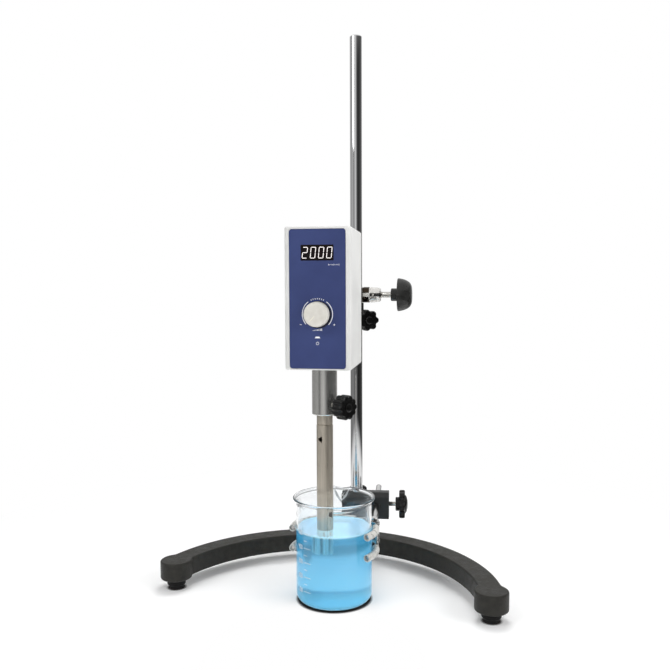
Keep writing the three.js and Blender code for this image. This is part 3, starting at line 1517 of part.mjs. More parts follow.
const homogenizer = new THREE.Group();
addStand(homogenizer);
addStopCollar(homogenizer);
addHeadClamp(bodyGroup(homogenizer, 0, 0, clampHeight));
const head = bodyGroup(homogenizer, -rodSpacing, -headReach, 0);
addHead(head);
addDrive(head);
addSpeedControl(head);
addBeaker(bodyGroup(homogenizer, beakerX, beakerY, 0));
addHolder(bodyGroup(homogenizer, 0, 0, 0, holderTurn));

export default homogenizer;
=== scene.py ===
import math
import bmesh
import bpy
from mathutils import Matrix, Vector


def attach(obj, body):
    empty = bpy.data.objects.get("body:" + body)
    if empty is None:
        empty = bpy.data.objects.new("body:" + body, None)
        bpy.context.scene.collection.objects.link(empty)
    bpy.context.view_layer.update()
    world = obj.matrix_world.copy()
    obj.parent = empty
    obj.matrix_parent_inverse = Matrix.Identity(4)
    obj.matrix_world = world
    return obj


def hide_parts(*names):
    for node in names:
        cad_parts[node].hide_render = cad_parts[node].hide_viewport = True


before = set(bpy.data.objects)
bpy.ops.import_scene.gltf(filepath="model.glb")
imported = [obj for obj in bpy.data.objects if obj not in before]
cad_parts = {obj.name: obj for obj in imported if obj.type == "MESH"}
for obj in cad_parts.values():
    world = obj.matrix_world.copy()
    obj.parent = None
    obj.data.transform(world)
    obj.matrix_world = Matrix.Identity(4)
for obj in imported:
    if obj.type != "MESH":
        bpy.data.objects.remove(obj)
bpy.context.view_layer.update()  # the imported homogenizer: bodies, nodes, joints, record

# Shapes below are in millimetres and are brought to metres when a piece is made.
mm = 0.001
radian = math.radians
fullTurn = 2 * math.pi
tiny = 1e-6


def shifted(x, y, z):
    return Matrix.Translation((x, y, z))


def rotated(degrees, axis="Z"):
    return Matrix.Rotation(radian(degrees), 4, axis)


def aimed(direction, origin=(0, 0, 0)):
    return Matrix.Translation(origin) @ Vector(direction).to_track_quat("Z", "Y").to_matrix().to_4x4()


headPlace = shifted(-18, -146.5, 0)  # tool axis
clampPlace = shifted(0, 0, 360.5)
basePlace = rotated(-6)
holderPlace = rotated(4)
beakerPlace = shifted(-8.5, -140, 0)
facingFront = Matrix(((1, 0, 0, 0), (0, 0, -1, 0), (0, 1, 0, 0), (0, 0, 0, 1)))  # flat outline to front wall
facingBack = Matrix(((-1, 0, 0, 0), (0, 0, 1, 0), (0, 1, 0, 0), (0, 0, 0, 1)))
toRight = aimed((1, 0, 0))


# Outlines are lists of (x, y), or of (radius, height) for turned shapes

def onCircle(radius, angle, height=None, centre=(0, 0)):
    flat = (centre[0] + radius * math.cos(angle), centre[1] + radius * math.sin(angle))
    return flat if height is None else (*flat, height)


def azimuth(degrees):
    return onCircle(1, radian(degrees), 0)


def arcPoints(centre, radius, start, end, steps):
    angles = [radian(start + (end - start) * step / steps) for step in range(steps + 1)]
    return [onCircle(radius, angle, centre=centre) for angle in angles]


def rectangle(left, low, right, high):
    return [(left, low), (right, low), (right, high), (left, high)]


def roundedOutline(width, height, corner, steps=6, centre=(0, 0)):
    outline = []
    for quarter, (across, along) in enumerate(((1, 1), (-1, 1), (-1, -1), (1, -1))):
        middle = (centre[0] + (width / 2 - corner) * across, centre[1] + (height / 2 - corner) * along)
        outline += arcPoints(middle, corner, 90 * quarter, 90 * quarter + 90, steps)
    return outline


def softened(profile, size, closed=False, steps=3):
    # rounds the corners of an outline by up to size
    rounded = []
    count = len(profile)
    for at, corner in enumerate(profile):
        here = Vector(corner)
        back = Vector(profile[at - 1]) - here
        ahead = Vector(profile[(at + 1) % count]) - here
        isEnd = not closed and at in (0, count - 1)
        if isEnd or back.length < tiny or ahead.length < tiny or back.angle(ahead) > radian(168):
            rounded.append(tuple(here))
            continue
        reach = min(size, back.length * 0.45, ahead.length * 0.45)
        start = here + back.normalized() * reach
        end = here + ahead.normalized() * reach
        for step in range(steps + 1):
            share = step / steps
            bend = here * 2 * share * (1 - share)
            rounded.append(tuple(start * (1 - share) ** 2 + bend + end * share ** 2))
    return rounded


# Shape helpers: each one gives (points, faces)

def turned(profile, sides):
    # spins a closed outline of (radius, height) about the upright axis
    points, rings, faces = [], [], []
    for radius, height in profile:
        count = 1 if radius < tiny else sides
        rings.append(range(len(points), len(points) + count))
        points += [onCircle(radius, fullTurn * side / sides, height) for side in range(count)]
    for lower, upper in zip(rings, rings[1:] + rings[:1]):
        for side in range(sides):
            after = (side + 1) % sides
            corners = ((lower, side), (lower, after), (upper, after), (upper, side))
            face = tuple(dict.fromkeys(ring[at % len(ring)] for ring, at in corners))
            if len(face) > 2:
                faces.append(face)
    return points, faces


def rodOf(radius, start, end, sides, soft=0):
    profile = rectangle(0, start, radius, end)
    return turned(softened(profile, soft) if soft else profile, sides)


def chamferedRod(size, start, end, sides, soft):
    # size holds the radius and the chamfer of the rod's far end
    radius, chamfer = size
    profile = [(0, start), (radius, start), (radius, end - chamfer), (radius - chamfer, end), (0, end)]
    return turned(softened(profile, soft), sides)


def ringOf(count, height, reachAt):
    angles = [fullTurn * step / count for step in range(count)]
    return [onCircle(reachAt(angle), angle, height) for angle in angles]


def lofted(rings, closeLoop=False):
    # skins a row of rings that have the same number of points
    count, rows = len(rings[0]), len(rings)
    points = [point for ring in rings for point in ring]
    faces = []
    for row in range(rows if closeLoop else rows - 1):
        low = row * count
        high = ((row + 1) % rows) * count
        for at in range(count):
            after = (at + 1) % count
            faces.append((low + at, low + after, high + after, high + at))
    if not closeLoop:
        faces.append(tuple(reversed(range(count))))
        faces.append(tuple(range((rows - 1) * count, rows * count)))
    return points, faces


def slabOf(outline, bottom, top):
    return lofted([[(x, y, bottom) for x, y in outline], [(x, y, top) for x, y in outline]])


def aheadOn(path, at):
    return Vector(path[min(at + 1, len(path) - 1)]) - Vector(path[max(at - 1, 0)])


def tubeAlong(path, radius, sides, bore=0):
    # a round tube along a level path; with a bore it is open at both ends
    def ringsOf(size):
        rings = []
        for at, here in enumerate(path):
            ahead = aheadOn(path, at)
            side = Vector((ahead.y, -ahead.x, 0)).normalized()
            ring = []
            for step in range(sides):
                out, up, _ = onCircle(size, fullTurn * step / sides, 0)
                ring.append(tuple(Vector(here) + side * out + Vector((0, 0, up))))
            rings.append(ring)
        return rings
    if not bore:
        return lofted(ringsOf(radius))
    return lofted(ringsOf(radius) + list(reversed(ringsOf(bore))), closeLoop=True)


def moved(shape, place):
    points, faces = shape
    return [tuple(place @ Vector(point)) for point in points], faces


def together(*shapes):
    points, faces = [], []
    for shapePoints, shapeFaces in shapes:
        start = len(points)
        points += shapePoints
        faces += [tuple(start + at for at in face) for face in shapeFaces]
    return points, faces


# Making pieces: each one rides a body, has a slot, and may stand for solids of the CAD model

def shadeMesh(mesh, sharpAngle=32):
    work = bmesh.new()
    work.from_mesh(mesh)
    bmesh.ops.remove_doubles(work, verts=work.verts, dist=1e-7)
    bmesh.ops.recalc_face_normals(work, faces=work.faces)
    for face in work.faces:
        face.smooth = True
    for edge in work.edges:
        edge.smooth = len(edge.link_faces) == 2 and edge.calc_face_angle(0) < radian(sharpAngle)
    work.to_mesh(mesh)
    work.free()


def objectOf(name, shape, place, sharpAngle=32):
    points, faces = moved(shape, place) if place is not None else shape
    mesh = bpy.data.meshes.new(name)
    mesh.from_pydata([Vector(point) * mm for point in points], [], faces)
    shadeMesh(mesh, sharpAngle)
    made = bpy.data.objects.new(name, mesh)
    bpy.context.scene.collection.objects.link(made)
    return made


def addPiece(name, shape, body, finish, place=None, stands=(), sharpAngle=32, bevel=0):
    piece = objectOf(name, shape, place, sharpAngle)
    piece.data.materials.append(finishes[finish])
    if bevel:
        addBevel(piece, bevel)
    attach(piece, body)
    if stands:
        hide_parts(*stands)
    return piece


def addBevel(piece, width, segments=3, angle=40):
    bevel = piece.modifiers.new("edges", "BEVEL")
    bevel.width = width * mm
    bevel.segments = segments
    bevel.limit_method = "ANGLE"
    bevel.angle_limit = radian(angle)
    bevel.harden_normals = True
    bevel.use_clamp_overlap = True


def carve(piece, shapes, place, sharpAngle=32):
    # cuts the shapes out of a piece and keeps the result as its mesh
    cutters = [objectOf(f"cutter_{at}", shape, place) for at, shape in enumerate(shapes)]
    for cutter in cutters:
        cut = piece.modifiers.new(cutter.name, "BOOLEAN")
        cut.operation = "DIFFERENCE"
        cut.solver = "EXACT"
        cut.object = cutter
    bpy.context.view_layer.update()
    carved = bpy.data.meshes.new_from_object(piece.evaluated_get(bpy.context.evaluated_depsgraph_get()))
    piece.modifiers.clear()
    piece.data = carved
    shadeMesh(carved, sharpAngle)
    for cutter in cutters:
        bpy.data.objects.remove(cutter)


# Finishes: every one has cloudy colour, uneven roughness and a fine surface

def addNode(tree, kind, *firstSockets, **values):
    # a value that is another node's output is linked; a name that is no socket is a setting
    node = tree.nodes.new(kind)
    filled = []
    for name, value in values.items():
        if name in node.inputs:
            filled.append((node.inputs[name], value))
        else:
            setattr(node, name, value)
    for socket, value in filled + list(zip(node.inputs, firstSockets)):
        if isinstance(value, bpy.types.NodeSocket):
            tree.links.new(value, socket)
        else:
            socket.default_value = value
    return node


def rampOf(tree, share, stops):
    ramp = addNode(tree, "ShaderNodeValToRGB", Fac=share)
    elements = ramp.color_ramp.elements
    while len(elements) < len(stops):
        elements.new(0.5)
    for element, (position, _) in zip(elements, stops):
        element.position = position
    for element, (_, colour) in zip(elements, stops):
        element.color = colour
    return ramp.outputs["Color"]


def srgb(*levels):
    shares = [level / 255 for level in levels]
    linear = [share / 12.92 if share <= 0.04045 else ((share + 0.055) / 1.055) ** 2.4 for share in shares]
    return (*linear, 1)


finishSockets = dict(metal="Metallic", specular="Specular IOR Level", clear="Transmission Weight", ior="IOR",
                     glow="Emission Strength")
drawnSteel = dict(stretch=0.03, metal=0.72)
# two colours of the clouds, sizes of clouds and of grain per metre, lowest and highest roughness,
# height of the grain in mm, and the values that differ from the usual ones
finishLooks = {
    "castPaint": ((49, 48, 44), (35, 34, 31), 130, 620, (0.42, 0.62), 0.5,
                  dict(strength=0.7, detail=6, specular=0.25)),
    "footRubber": ((14, 14, 14), (8, 8, 8), 140, 1500, (0.6, 0.8), 0.08, dict(specular=0.3)),
    "columnChrome": ((214, 214, 214), (198, 198, 199), 40, 700, (0.05, 0.11), 0.004,
                     dict(stretch=0.06, metal=1.0)),
    "clampChrome": ((216, 213, 208), (204, 201, 196), 60, 900, (0.09, 0.15), 0.001, dict(metal=1.0)),
    "bossChrome": ((236, 234, 230), (226, 224, 220), 60, 900, (0.12, 0.2), 0.001, dict(metal=0.7)),
    # a dark copy of the chrome: painted dark reflection for the ring over the boss's root
    "rootPaintedReflection": ((66, 56, 47), (52, 44, 37), 90, 900, (0.08, 0.14), 0.001, dict(metal=1.0)),
    "screwSteel": ((214, 212, 207), (198, 196, 190), 120, 1400, (0.16, 0.26), 0.003, dict(metal=0.85)),
    "polishedSteel": ((205, 205, 204), (180, 180, 179), 70, 900, (0.1, 0.2), 0.006, dict(metal=1.0)),
    "sleeveSteel": ((236, 235, 231), (222, 221, 217), 60, 900, (0.08, 0.13), 0.002,
                    dict(stretch=0.06, metal=0.9)),
    "toolSteel": ((205, 196, 182), (176, 168, 154), 260, 1800, (0.26, 0.36), 0.006, drawnSteel),
    "rotorSteel": ((58, 55, 51), (44, 42, 39), 260, 1800, (0.26, 0.36), 0.006, drawnSteel),
    "statorSteel": ((232, 228, 220), (214, 209, 200), 260, 1800, (0.26, 0.36), 0.006, drawnSteel),
    "jawSteel": ((188, 188, 187), (165, 165, 163), 200, 1600, (0.2, 0.32), 0.012, dict(metal=1.0)),
    "motorSteel": ((150, 150, 148), (126, 126, 124), 80, 1200, (0.35, 0.5), 0.02, dict(metal=1.0)),
    "copperWindings": ((176, 96, 52), (120, 60, 34), 300, 2200, (0.3, 0.5), 0.12,
                       dict(stretch=0.4, metal=0.8)),
    "graphite": ((52, 52, 54), (34, 34, 36), 200, 2000, (0.5, 0.7), 0.03, {}),
    "brassContacts": ((206, 168, 92), (170, 132, 64), 150, 1500, (0.25, 0.4), 0.01, dict(metal=1.0)),
    "paleBush": ((226, 222, 208), (208, 203, 188), 120, 1500, (0.4, 0.55), 0.02, {}),
    "knobPlastic": ((17, 17, 17), (10, 10, 10), 120, 1300, (0.16, 0.28), 0.02, dict(specular=0.3)),
    "domePlastic": ((44, 44, 43), (32, 32, 31), 90, 1600, (0.26, 0.36), 0.03, dict(specular=0.4)),
    "housingPlastic": ((235, 235, 233), (226, 226, 224), 25, 1500, (0.36, 0.48), 0.03, dict(strength=0.35)),
    "bluePanel": ((63, 75, 124), (58, 69, 116), 30, 2200, (0.42, 0.52), 0.012,
                  dict(strength=0.3, specular=0.2)),
    "windowGlass": ((24, 13, 13), (12, 6, 6), 60, 800, (0.2, 0.3), 0.002, dict(strength=0.2, specular=0.15)),
    # painted shadow of the speed knob on the panel
    "dialPaintedShadow": ((27, 30, 50), (21, 23, 40), 300, 2000, (0.5, 0.65), 0.004, {}),
    "panelPrint": ((254, 254, 255), (246, 248, 255), 400, 3000, (0.45, 0.6), 0.01, {}),
    "whitePrint": ((236, 238, 242), (222, 225, 230), 400, 3000, (0.45, 0.6), 0.01, {}),
    "litSegments": ((255, 248, 246), (255, 248, 246), 200, 900, (0.4, 0.5), 0.001, dict(lit=True, glow=0.5)),
    "pointerPaint": ((244, 240, 226), (238, 234, 220), 200, 2400, (0.3, 0.42), 0.01, {}),
    "speedPlastic": ((232, 229, 221), (222, 218, 209), 160, 2400, (0.28, 0.42), 0.02, dict(strength=0.4)),
    "boardGreen": ((38, 104, 62), (24, 76, 44), 420, 900, (0.3, 0.5), 0.06, {}),
    "blackPlastic": ((36, 36, 37), (24, 24, 25), 110, 1700, (0.35, 0.5), 0.03, {}),
    "bossheadPaint": ((31, 31, 31), (22, 22, 22), 130, 1100, (0.38, 0.52), 0.12, dict(detail=5)),
    "fingerVinyl": ((236, 235, 230), (222, 221, 216), 150, 1400, (0.22, 0.36), 0.02,
                    dict(clear=0.25, ior=1.45)),
    "beakerGlass": ((253, 254, 255), (247, 250, 252), 20, 120, (0.0, 0.02), 0.004,
                    dict(strength=0.15, clear=1.0, ior=1.45)),
    # whitish glass: the spout's folds carry a painted highlight
    "foldHighlightGlass": ((252, 253, 254), (240, 243, 246), 90, 300, (0.03, 0.1), 0.01,
                  dict(strength=0.2, clear=0.35, ior=1.5)),
    # the liquid's emission is painted light, set by height in liquidPaintedGlow
    "blueLiquid": ((146, 219, 252), (134, 212, 249), 14, 40, (0.17, 0.21), 0.01,
                   dict(strength=0.1, clear=0.8, ior=1.33, glow=1.0)),
}
cloudSpan = (0.32, 0.68)  # where the clouds turn from one colour to the other
glossSpan = (0.3, 0.7)


def makeFinish(name, look):
    colour, shade, cloudSize, grainSize, rough, depth, others = look
    finish = bpy.data.materials.new(name)
    finish.use_nodes = True
    tree = finish.node_tree
    shader = tree.nodes["Principled BSDF"]
    where = addNode(tree, "ShaderNodeTexCoord").outputs["Object"]
    stretch = (1, 1, others.get("stretch", 1))
    spread = addNode(tree, "ShaderNodeMapping", Vector=where, Scale=stretch).outputs["Vector"]
    clouds = addNode(tree, "ShaderNodeTexNoise", Vector=spread, Scale=cloudSize, Detail=4).outputs["Fac"]
    tint = rampOf(tree, clouds, list(zip(cloudSpan, (srgb(*shade), srgb(*colour)))))
    detail = others.get("detail", 3)
    grain = addNode(tree, "ShaderNodeTexNoise", Vector=spread, Scale=grainSize, Detail=detail)
    gloss = addNode(tree, "ShaderNodeMapRange", clouds, *glossSpan, *rough)
    relief = addNode(tree, "ShaderNodeBump", Strength=others.get("strength", 0.5), Distance=depth * mm,
                     Height=grain.outputs["Fac"])
    tree.links.new(tint, shader.inputs["Base Color"])
    tree.links.new(gloss.outputs["Result"], shader.inputs["Roughness"])
    tree.links.new(relief.outputs["Normal"], shader.inputs["Normal"])
    if "lit" in others:
        tree.links.new(tint, shader.inputs["Emission Color"])
    for short, socket in finishSockets.items():
        if short in others:
            shader.inputs[socket].default_value = others[short]
    return finish


finishes = {name: makeFinish(name, look) for name, look in finishLooks.items()}

# painted light in the liquid by height in metres: brighter at its bottom, blue through the body, a pale
# painted sheen at the surface
liquidPaintedGlow = ((0.0, (0.03, 0.11, 0.13)), (0.016, (0.03, 0.11, 0.13)), (0.024, (0.01, 0.045, 0.07)),
              (0.05, (0.006, 0.06, 0.095)), (0.0855, (0.002, 0.085, 0.14)), (0.0863, (0.27, 0.33, 0.31)))
glowReach = 0.1


def lightUpLiquid(tree):
    where = addNode(tree, "ShaderNodeTexCoord").outputs["Object"]
    height = addNode(tree, "ShaderNodeSeparateXYZ", Vector=where).outputs["Z"]
    share = addNode(tree, "ShaderNodeMapRange", height, 0, glowReach, 0, 1).outputs["Result"]
    glow = rampOf(tree, share, [(level / glowReach, (*colour, 1)) for level, colour in liquidPaintedGlow])
    tree.links.new(glow, tree.nodes["Principled BSDF"].inputs["Emission Color"])


lightUpLiquid(finishes["blueLiquid"].node_tree)
print("finishes made:", len(finishes))


# Stand: cast arc on three feet, and the column

castBase = dict(arcRadius=196.4, barWidth=27, endRadius=19.3, fillet=10, halfAngle=78.5, bottom=12.3,
                top=34.9, edge=2)
feet = dict(topRadius=11.25, bottomRadius=8.75, height=12)
post = dict(radius=8, chamfer=1.2, bottom=23.9, top=700)
seat = dict(gap=0.1, width=1.6, topWidth=0.9, bottom=33, shoulder=34.9, top=35.4)


def arcAround(centre, radius, start, end, turn, steps):
    # from start to end round a centre, the way that turn says, without the first point
    first, last = (math.atan2(point[1] - centre[1], point[0] - centre[0]) for point in (start, end))
    sweep = turn * ((turn * (last - first)) % fullTurn)
    return [onCircle(radius, first + sweep * step / steps, centre=centre) for step in range(1, steps + 1)]


def baseOutline(size):
    radius, end = size["arcRadius"], radian(size["halfAngle"])

    def along(distance, angle):
        return distance * math.sin(angle), distance * math.cos(angle) - radius

    def bend(discAngle, towards, side):
        edge = radius + side * size["barWidth"] / 2
        far = edge + side * size["fillet"]
        reach = size["endRadius"] + size["fillet"]
        angle = discAngle + towards * math.acos((radius ** 2 + far ** 2 - reach ** 2) / (2 * radius * far))
        return dict(centre=along(far, angle), disc=along(radius, discAngle), bar=along(edge, angle),
                    edge=edge, side=side)

    bends = [bend(*where) for where in ((-end, 1, 1), (0, -1, 1), (0, 1, 1), (end, -1, 1),
                                        (end, -1, -1), (0, 1, -1), (0, -1, -1), (-end, 1, -1))]
    outline = []
    for at in range(0, 8, 2):
        start, finish, after = bends[at], bends[at + 1], bends[(at + 2) % 8]
        outline += arcAround(start["centre"], size["fillet"], start["disc"], start["bar"], 1, 6)
        outline += arcAround(along(0, 0), start["edge"], start["bar"], finish["bar"], -start["side"], 36)
        outline += arcAround(finish["centre"], size["fillet"], finish["bar"], finish["disc"], 1, 6)
        steps = 36 if at in (2, 6) else 6
        outline += arcAround(finish["disc"], size["endRadius"], finish["centre"], after["centre"], -1, steps)
    return outline


def makeStand():
    casting = slabOf(baseOutline(castBase), castBase["bottom"], castBase["top"])
    base = addPiece("base_casting", casting, "stand", "castPaint", basePlace, ("base_arc",))
    addBevel(base, castBase["edge"], 4, 50)
    rim, low, height = feet["topRadius"], feet["bottomRadius"], feet["height"]
    tread = [(0, 0.5), (low - 2.6, 0.5), (low - 2.2, 0), (low - 0.8, 0), (low, 0.8), (low + 0.4, 3.2),
             (rim - 0.6, 4.4), (rim, 5.2), (rim, height - 0.6), (rim - 0.6, height), (0, height)]
    foot = turned(softened(tread, 0.5), 48)
    away, reach = radian(castBase["halfAngle"]), castBase["arcRadius"]
    for name, side in (("foot_left", -1), ("foot_right", 1), ("foot_rear", 0)):
        place = shifted(reach * math.sin(side * away), reach * (math.cos(side * away) - 1), 0)
        addPiece(f"{name}_tread", foot, "stand", "footRubber", basePlace @ place, (name,))
    rod = chamferedRod((post["radius"], post["chamfer"]), post["bottom"], post["top"], 96, 0.5)
    addPiece("column_rod", rod, "stand", "columnChrome", stands=("column",))
    inner, outer, narrow = (post["radius"] + seat[name] for name in ("gap", "width", "topWidth"))
    profile = [(inner, seat["bottom"]), (outer, seat["bottom"]), (outer, seat["shoulder"]),
               (narrow, seat["top"]), (inner, seat["top"])]
    addPiece("column_seat", turned(softened(profile, 0.3, True), 64), "stand", "castPaint")


makeStand()
print("stand made")


# Lobed knobs and their screws

starKnob = dict(radius=14, lobe=2.6, lobes=7, thickness=13, hubRadius=6.5, hubLength=3.5, capRadius=5.2,
                capHeight=1.4, dish=0.9)
sleeveKnob = dict(starKnob, radius=14.4, lobe=1.9, lobes=10, thickness=15)
wingKnob = dict(radius=19.2, lobe=4.6, lobes=6, thickness=8, hubRadius=9.3, hubLength=4.8, capRadius=12.2,
                capHeight=3.8, dish=0)
knobScrew = dict(radius=3, thread=0.28, pitch=1.0, lead=0.6, hidden=2)


def lobedGrip(size):
    count = size["lobes"] * 16

    def lobed(height, inset, fullness=0.0):
        def reachAt(angle):
            dip = ((1 - math.cos(size["lobes"] * angle)) / 2) ** 1.6
            return size["radius"] - size["lobe"] * dip * (1 - fullness) - inset
        return ringOf(count, height, reachAt)

    def hoop(radius, height):
        return ringOf(count, height, lambda angle: radius)

    thick, low = size["thickness"], -size["hubLength"]
    hub, cap, dish, crown = size["hubRadius"], size["capRadius"], size["dish"], size["capHeight"]
    rings = [hoop(3.2, low), hoop(hub - 0.6, low), hoop(hub, low + 0.6), hoop(hub, -0.3), hoop(hub + 0.5, 0)]
    rings += [lobed(0, 2.3, 0.2), lobed(0.25, 1.2, 0.05), lobed(0.8, 0.45), lobed(1.7, 0.08), lobed(2.6, 0)]
    rings += [lobed(thick - 2.6, 0), lobed(thick - 1.7, 0.08), lobed(thick - 0.8, 0.45),
              lobed(thick - 0.2, 1.2, 0.03)]
    if dish:
        rings += [lobed(thick, 2.5, 0.25), lobed(thick - 0.1, 3.4, 0.5), hoop(cap + 0.9, thick - dish)]
    else:
        rings.append(lobed(thick, 1.9, 0.1))
    rings.append(hoop(cap + 0.1, thick - dish))
    for angle in (0, 12, 26, 42, 58, 74, 88):
        across, up = onCircle(1, radian(angle))
        rings.append(hoop(max(cap * across, 0.4), thick + crown * up))
    return lofted(rings)


def threadedRod(length, radius, start, shank):
    # a screw from start to start + length; its last stretch, shank long, has no thread
    pitch, root, lead = knobScrew["pitch"], radius - knobScrew["thread"], knobScrew["lead"]
    profile = [(0, start), (radius - 0.7, start)]
    for turn in range(int((length - shank - lead) / pitch)):
        low = start + lead + turn * pitch
        profile += [(root, low), (root, low + 0.2 * pitch), (radius, low + 0.5 * pitch),
                    (radius, low + 0.7 * pitch)]
    plain, end = start + max(length - shank, 0.8), start + length
    profile += [(root, plain), (radius, plain + knobScrew["thread"]), (radius, end), (0, end)]
    return turned(profile, 48)


def addKnob(node, size, body, direction, start, tip, place, shank=6):
    # the knob's hub starts at start along direction, and its screw's tip is at tip
    along, hidden = place @ aimed(direction), knobScrew["hidden"]
    addPiece(f"{node}_grip", lobedGrip(size), body, "knobPlastic",
             along @ shifted(0, 0, start + size["hubLength"]), (node,), 40)
    screw = threadedRod(start - tip + hidden, knobScrew["radius"], tip, shank + hidden)
    addPiece(f"{node}_thread", screw, body, "screwSteel", along, (f"{node}_screw",), 50)


# Stop collar on the column

collar = dict(radius=14, neckRadius=10, bore=8.3, bottom=318, top=338, neckTop=349.9, bossRadius=6.5,
              bossStart=9, bossReach=21, bossChamfer=0.8, knobAzimuth=-60, knobGap=0.6)


def makeStopCollar():
    bore, radius, neck = collar["bore"], collar["radius"], collar["neckRadius"]
    low, high, top = collar["bottom"], collar["top"], collar["neckTop"]
    profile = [(bore, low), (radius - 1, low), (radius, low + 1), (radius, high - 1), (radius - 1, high),
               (neck, high + 0.4), (neck, top - 0.5), (neck - 0.5, top), (bore, top)]
    height, outward = (low + high) / 2, azimuth(collar["knobAzimuth"])
    size = (collar["bossRadius"], collar["bossChamfer"])
    boss = chamferedRod(size, collar["bossStart"], collar["bossReach"], 40, 0.4)
    ring = together(turned(softened(profile, 0.5, True), 64), moved(boss, aimed(outward, (0, 0, height))))
    addPiece("stop_collar_ring", ring, "height_stop", "bossheadPaint", stands=("stop_collar",))
    start = collar["bossReach"] + collar["knobGap"] + starKnob["thickness"] / 2
    addKnob("stop_collar_knob", starKnob, "height_stop_knob", outward, start, bore, shifted(0, 0, height))


makeStopCollar()
print("stop collar made")


# Head clamp: cross block, chrome boss, domed knob

clampBlock = dict(left=36, right=10.4, depth=30, height=20.6, corner=2.4, edge=1.0, columnBore=8.3,
                  rodBore=6.3, rodAcross=-18, knobStart=45, knobTip=24.3)
clampBoss = dict(radius=10.3, tipRadius=9.1, start=10.4, end=33.2, buried=1.5, groove=18.4, grooveWidth=1.2,
                 grooveDepth=0.9, holeRadius=4.2, holeDepth=3)
# a dark ring over the boss's root, cut open at mid height: painted dark reflection above and below a light
# middle band
bossPaintedReflection = dict(proud=0.12, wall=1, bevel=0.4, gap=5.2)
bossSlot = dict(width=4.4, depth=14, linerNear=4.5, linerFar=8.3, linerGap=0.06, pinRadius=1.6, pinReach=9.3,
                pinIn=4.2)
dome = dict(hubStart=46.9, start=55.8, hubRadius=8.5, radius=21.9, height=19, rim=0.6, fullness=1.5,
            power=0.22, bore=4.1, boreDepth=3, screwLength=43.8, screwRadius=3.9, screwStart=9, screwShank=26)
throughAll = 20


def makeClampBlock():
    half = clampBlock["height"] / 2
    outline = roundedOutline(clampBlock["left"] + clampBlock["right"], clampBlock["depth"],
                             clampBlock["corner"], 6, ((clampBlock["right"] - clampBlock["left"]) / 2, 0))
    block = addPiece("clamp_block", slabOf(outline, -half, half), "head_clamp", "clampChrome",
                     clampPlace, ("clamp_body",))
    rodBore = rodOf(clampBlock["rodBore"], -40, 40, 64)
    carve(block, [rodOf(clampBlock["columnBore"], -throughAll, throughAll, 64),
                  moved(rodBore, aimed((0, 1, 0), (clampBlock["rodAcross"], 0, 0)))], clampPlace, 50)
    addBevel(block, clampBlock["edge"], 3, 50)


def makeClampBoss():
    radius, tip, hole = clampBoss["radius"], clampBoss["tipRadius"], clampBoss["holeRadius"]
    buried, end = clampBoss["start"] - clampBoss["buried"], clampBoss["end"]
    groove, wide, deep = clampBoss["groove"], clampBoss["grooveWidth"], radius - clampBoss["grooveDepth"]
    profile = [(0, buried), (radius, buried), (radius, groove), (deep, groove + 0.2),
               (deep, groove + wide - 0.2), (radius, groove + wide), (tip + 0.2, end - 1.4), (tip - 1.2, end),
               (hole, end), (hole, end - clampBoss["holeDepth"]), (0, end - clampBoss["holeDepth"])]
    boss = addPiece("clamp_boss", turned(softened(profile, 0.35), 96), "head_clamp", "bossChrome",
                    clampPlace @ toRight, sharpAngle=40)
    outer, inner, start = radius + bossPaintedReflection["proud"], radius - bossPaintedReflection["wall"], clampBoss["start"]
    profile = [(inner, start - 0.2), (outer, start - 0.2), (outer, groove - bossPaintedReflection["bevel"]),
               (outer - bossPaintedReflection["bevel"], groove), (inner, groove)]
    # the ring's dark colour is a painted reflection; the gap cut below shows the chrome as a light middle
    # band
    root = addPiece("clamp_boss_painted_reflection", turned(softened(profile, 0.2, True), 96), "head_clamp", "rootPaintedReflection",
                    clampPlace @ toRight)
    half, slotEnd = bossSlot["width"] / 2, end - bossSlot["depth"]
    cuts = ((root, start - 2, groove + 2, bossPaintedReflection["gap"] / 2), (boss, slotEnd, end + 3, half))
    for piece, left, right, side in cuts:
        cut = slabOf(rectangle(left, -side, right, side), -throughAll, throughAll)
        carve(piece, [moved(cut, rotated(90, "X"))], clampPlace, 40)
    near, far, lift = bossSlot["linerNear"], bossSlot["linerFar"], half - bossSlot["linerGap"]
    plates = [slabOf([(slotEnd + 0.1, side * near), (end - 1.2, side * near), (end - 1.2, side * far),
                      (slotEnd + 0.1, side * far)], -lift, lift) for side in (-1, 1)]
    addPiece("clamp_boss_liner", together(*plates), "head_clamp", "blackPlastic", clampPlace)
    pin = rodOf(bossSlot["pinRadius"], -bossSlot["pinReach"], bossSlot["pinReach"], 32, 0.5)
    addPiece("clamp_boss_pin", pin, "head_clamp", "clampChrome",
             clampPlace @ aimed((0, 1, 0), (slotEnd + bossSlot["pinIn"], 0, 0)))


def makeDomeKnob():
    start, hubStart, hub, rim = dome["start"], dome["hubStart"], dome["hubRadius"], dome["radius"]
    bore, boreEnd = dome["bore"], hubStart + dome["boreDepth"]
    screw = threadedRod(*(dome[name] for name in ("screwLength", "screwRadius", "screwStart", "screwShank")))
    addPiece("dome_knob_thread", screw, "column_knob", "screwSteel", clampPlace @ toRight,
             ("dome_knob_screw",), 50)
    profile = [(bore, hubStart), (hub - 0.7, hubStart), (hub, hubStart + 0.7), (hub, start - 0.4),
               (hub + 0.6, start + 0.1), (rim - 0.5, start), (rim - 0.12, start + 0.2)]
    for step in range(30):
        climb = math.sin(radian(90 * step / 30))
        profile.append((rim * (1 - climb ** dome["fullness"]) ** dome["power"],
                        start + dome["rim"] + (dome["height"] - dome["rim"]) * climb))
    profile += [(0, start + dome["height"]), (0, boreEnd), (bore, boreEnd)]
    addPiece("dome_knob_cap", turned(profile, 96), "column_knob", "domePlastic",
             clampPlace @ toRight, ("dome_knob",), 40)


makeClampBlock()
makeClampBoss()
makeDomeKnob()
addKnob("rod_clamp_knob", starKnob, "rod_knob", (-1, 0, 0), clampBlock["knobStart"], clampBlock["knobTip"],
        clampPlace)
print("head clamp made")


# Head housing: front shell and rear cover, hollow, lofted from front to back

